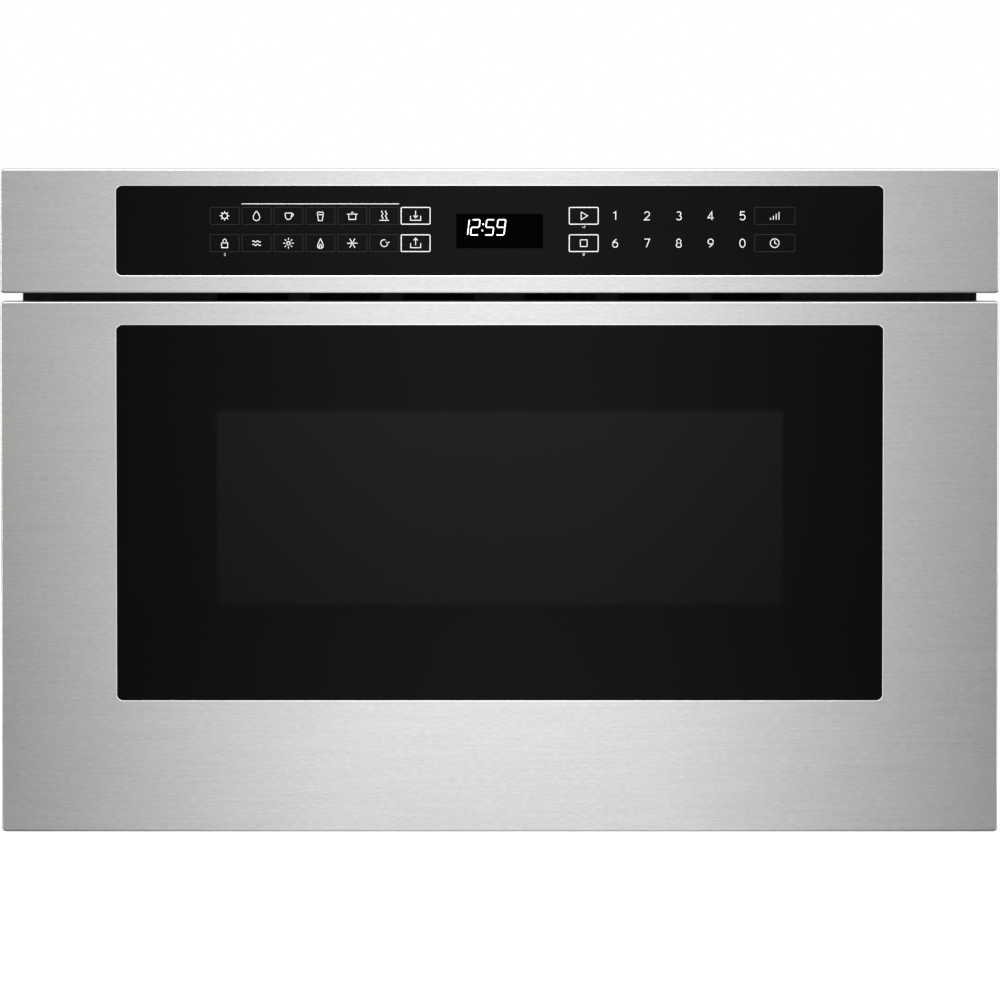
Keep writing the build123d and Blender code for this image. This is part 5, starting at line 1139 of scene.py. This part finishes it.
# -------- operator: stage
class DRAWER_OT_set_stage(bpy.types.Operator):
    """Pale floor, soft lamps and the camera"""
    bl_idname = "drawer.set_stage"
    bl_label = "Set Stage"

    def execute(self, context):
        settings = context.scene.drawer_stage
        scene = context.scene
        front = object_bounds()[0][1]
        self.floor(settings)
        self.sky(scene, settings)
        self.soft_box(settings, front)
        self.lamp(
            "top_lamp", (-0.1, -0.4, 2.6), turn=(0, 0, 0), width=2.4, height=2.4, watts=settings.top_watts
        )
        self.lamp(
            "boom_lamp", (0.0, front - 0.75, 1.25), turn=(32, 0, 0), width=2.2, height=0.5,
            watts=settings.boom_watts, spread=60,
        )
        for side in (-1, 1):
            self.lamp(
                "side_lamp", (side * 1.9, front - 0.9, 0.7), turn=(90, 0, side * 62), width=0.8, height=1.2,
                watts=settings.side_watts,
            )
        camera = bpy.data.objects.new("camera", bpy.data.cameras.new("camera"))
        scene.collection.objects.link(camera)
        camera.location = (settings.aside, front - settings.distance, settings.eye)
        camera.rotation_euler = (math.radians(90) - settings.pitch, 0.0, 0.0)
        camera.data.lens = settings.lens
        camera.data.sensor_width = 36.0
        camera.data.clip_end = 50.0
        scene.camera = camera
        scene.view_settings.view_transform = "Standard"
        return {"FINISHED"}

    def lamp(self, name, place, turn, width, height, watts, spread=180):
        """A soft box that lights but isn't seen by the camera; turn and spread are in degrees."""
        data = bpy.data.lights.new(name, "AREA")
        data.shape = "RECTANGLE"
        data.size, data.size_y = width, height
        data.energy = watts
        data.spread = math.radians(spread)
        holder = bpy.data.objects.new(name, data)
        bpy.context.scene.collection.objects.link(holder)
        holder.location = place
        holder.rotation_euler = [math.radians(angle) for angle in turn]
        holder.visible_camera = False
        return data

    def soft_box(self, settings, front):
        """Tall soft box ahead of the fronts: its light falls off to both edges as sin(pi u) ** 2."""
        data = self.lamp(
            "soft_box", (-0.008, front - settings.ahead, 0.55), turn=(90, 0, 0), width=settings.box_width,
            height=1.08, watts=settings.box_watts,
        )
        data.use_nodes = True
        tree = data.node_tree
        across = add(tree, "SeparateXYZ", add(tree, "NewGeometry", take="Parametric"), take="X")
        wave = add(tree, "Math", add(tree, "Math", across, math.pi, operation="MULTIPLY"), operation="SINE")
        glow = add(tree, "Math", wave, wave, operation="MULTIPLY")
        tree.links.new(glow, tree.nodes["Emission"].inputs["Strength"])

    def floor(self, settings):
        """Disc r (cos t, sin t) under the drawer; its rim runs out into the white surroundings."""
        sides = 64
        # Rings in metres, from the middle outwards.
        radius = np.array([0.0001, 0.5, 1.0, 1.6, 2.2])[:, None]
        angle = np.linspace(0, 2 * np.pi, sides, endpoint=False)
        x, y = radius * np.cos(angle), radius * np.sin(angle)
        points = np.stack([x, y, np.full(x.shape, -UNDER_DRAWER)], -1).reshape(-1, 3)
        faces = grid_faces(len(radius), sides, closed_columns=True)
        mesh = bpy.data.meshes.new("floor")
        mesh.from_pydata(points.tolist(), [], faces.tolist())
        floor = bpy.data.objects.new("floor", mesh)
        bpy.context.scene.collection.objects.link(floor)
        floor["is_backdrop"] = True
        # White studio vinyl: matt, with a faint grain; for the camera's rays light is added to make it white.
        made = Finish("studio_vinyl", Roughness=0.9, Specular_IOR_Level=0.1)
        grain = made.clouds(4, 4, 4)
        vinyl = made.add("Mix", grain, shade(settings.floor, 0.985), shade(settings.floor), data_type="RGBA")
        # Painted reflection: for glossy rays the floor ahead is painted darker beside a bright strip in its
        # middle, and the steel fronts reflect this painted shade.
        bright_strip_half, dark_from = 0.1, 0.38
        dark_ends, white_from = -0.3, -0.22
        x, y = (made.add("SeparateXYZ", made.place, take=axis) for axis in "XY")
        beside = made.add("MapRange", made.add("Math", x, operation="ABSOLUTE"), bright_strip_half, dark_from)
        ahead = made.add("MapRange", y, dark_ends, white_from, 1.0, 0.0)
        dark = made.add("Math", beside, ahead, operation="MULTIPLY")
        mirrored = made.add("Mix", dark, vinyl, shade(settings.mirrored_floor), data_type="RGBA")
        added = 0.3
        seen = made.add("Math", made.add("LightPath", take="Is Camera Ray"), added, operation="MULTIPLY")
        glow = made.add("Emission", (1, 1, 1, 1), seen)
        surface = made.add("AddShader", made.shader.outputs["BSDF"], glow)
        made.tree.links.new(surface, made.tree.nodes["Material Output"].inputs["Surface"])
        mesh.materials.append(made.done(tone=(made.add("LightPath", take="Is Glossy Ray"), vinyl, mirrored)))

    def sky(self, scene, settings):
        """White surroundings for seen rays, a plain level for the rest; steel sees a dimmer room in front."""
        scene.world = bpy.data.worlds.new("studio")
        scene.world.use_nodes = True
        tree = scene.world.node_tree
        tree.nodes.clear()
        glossy = add(tree, "LightPath", take="Is Glossy Ray")
        way = add(tree, "TexCoord", take="Generated")
        y, z = (add(tree, "SeparateXYZ", way, take=axis) for axis in "YZ")
        # Straight ahead is y = -1; the dim room reaches 60 degrees to the sides and 30 degrees upwards.
        towards_front = add(tree, "MapRange", y, -0.95, -0.5, 1.0, 0.0)
        low_down = add(tree, "MapRange", z, 0.0, 0.5, 1.0, 0.0)
        dim = add(tree, "Math", towards_front, low_down, operation="MULTIPLY")
        mirrored = add(tree, "MapRange", dim, 0.0, 1.0, 1.0, settings.room)
        level = add(tree, "Math", glossy, mirrored, operation="MULTIPLY")
        for ray in ("Is Camera Ray", "Is Transmission Ray"):
            level = add(tree, "Math", level, add(tree, "LightPath", take=ray), operation="MAXIMUM")
        plain_level = 0.75
        plain = add(tree, "MapRange", glossy, 0.0, 1.0, plain_level, 0.0)
        level = add(tree, "Math", level, plain, operation="MAXIMUM")
        world = tree.nodes.new("ShaderNodeOutputWorld")
        tree.links.new(add(tree, "Background", (1, 1, 1, 1), level), world.inputs["Surface"])


# -------- panel and registration
OPERATORS = (
    DRAWER_OT_finish_fronts, DRAWER_OT_finish_chassis, DRAWER_OT_finish_oven, DRAWER_OT_finish_mouldings,
    DRAWER_OT_finish_works, DRAWER_OT_add_trims, DRAWER_OT_add_key_outlines, DRAWER_OT_add_key_signs,
    DRAWER_OT_add_digits, DRAWER_OT_add_clock, DRAWER_OT_add_screws, DRAWER_OT_add_windings,
    DRAWER_OT_set_stage,
)


class DRAWER_PT_panel(bpy.types.Panel):
    """Lists the steps that dress the microwave drawer"""
    bl_idname = "DRAWER_PT_panel"
    bl_label = "Microwave Drawer"
    bl_space_type = "VIEW_3D"
    bl_region_type = "UI"
    bl_category = "Drawer"

    def draw(self, context):
        for name, group in GROUPS.items():
            box = self.layout.box()
            box.label(text=group.__doc__)
            for field in group.__annotations__:
                box.prop(getattr(context.scene, name), field)
        for operator in OPERATORS:
            self.layout.operator(operator.bl_idname)


def register():
    for name, group in GROUPS.items():
        bpy.utils.register_class(group)
        setattr(bpy.types.Scene, name, bpy.props.PointerProperty(type=group))
    for operator in OPERATORS:
        bpy.utils.register_class(operator)
    bpy.utils.register_class(DRAWER_PT_panel)


def unregister():
    bpy.utils.unregister_class(DRAWER_PT_panel)
    for operator in reversed(OPERATORS):
        bpy.utils.unregister_class(operator)
    for name, group in reversed(GROUPS.items()):
        delattr(bpy.types.Scene, name)
        bpy.utils.unregister_class(group)


def main():
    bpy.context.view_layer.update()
    register()
    for operator in OPERATORS:
        group, name = operator.bl_idname.split(".")
        getattr(getattr(bpy.ops, group), name)()
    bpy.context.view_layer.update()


if __name__ == "__main__":
    main()
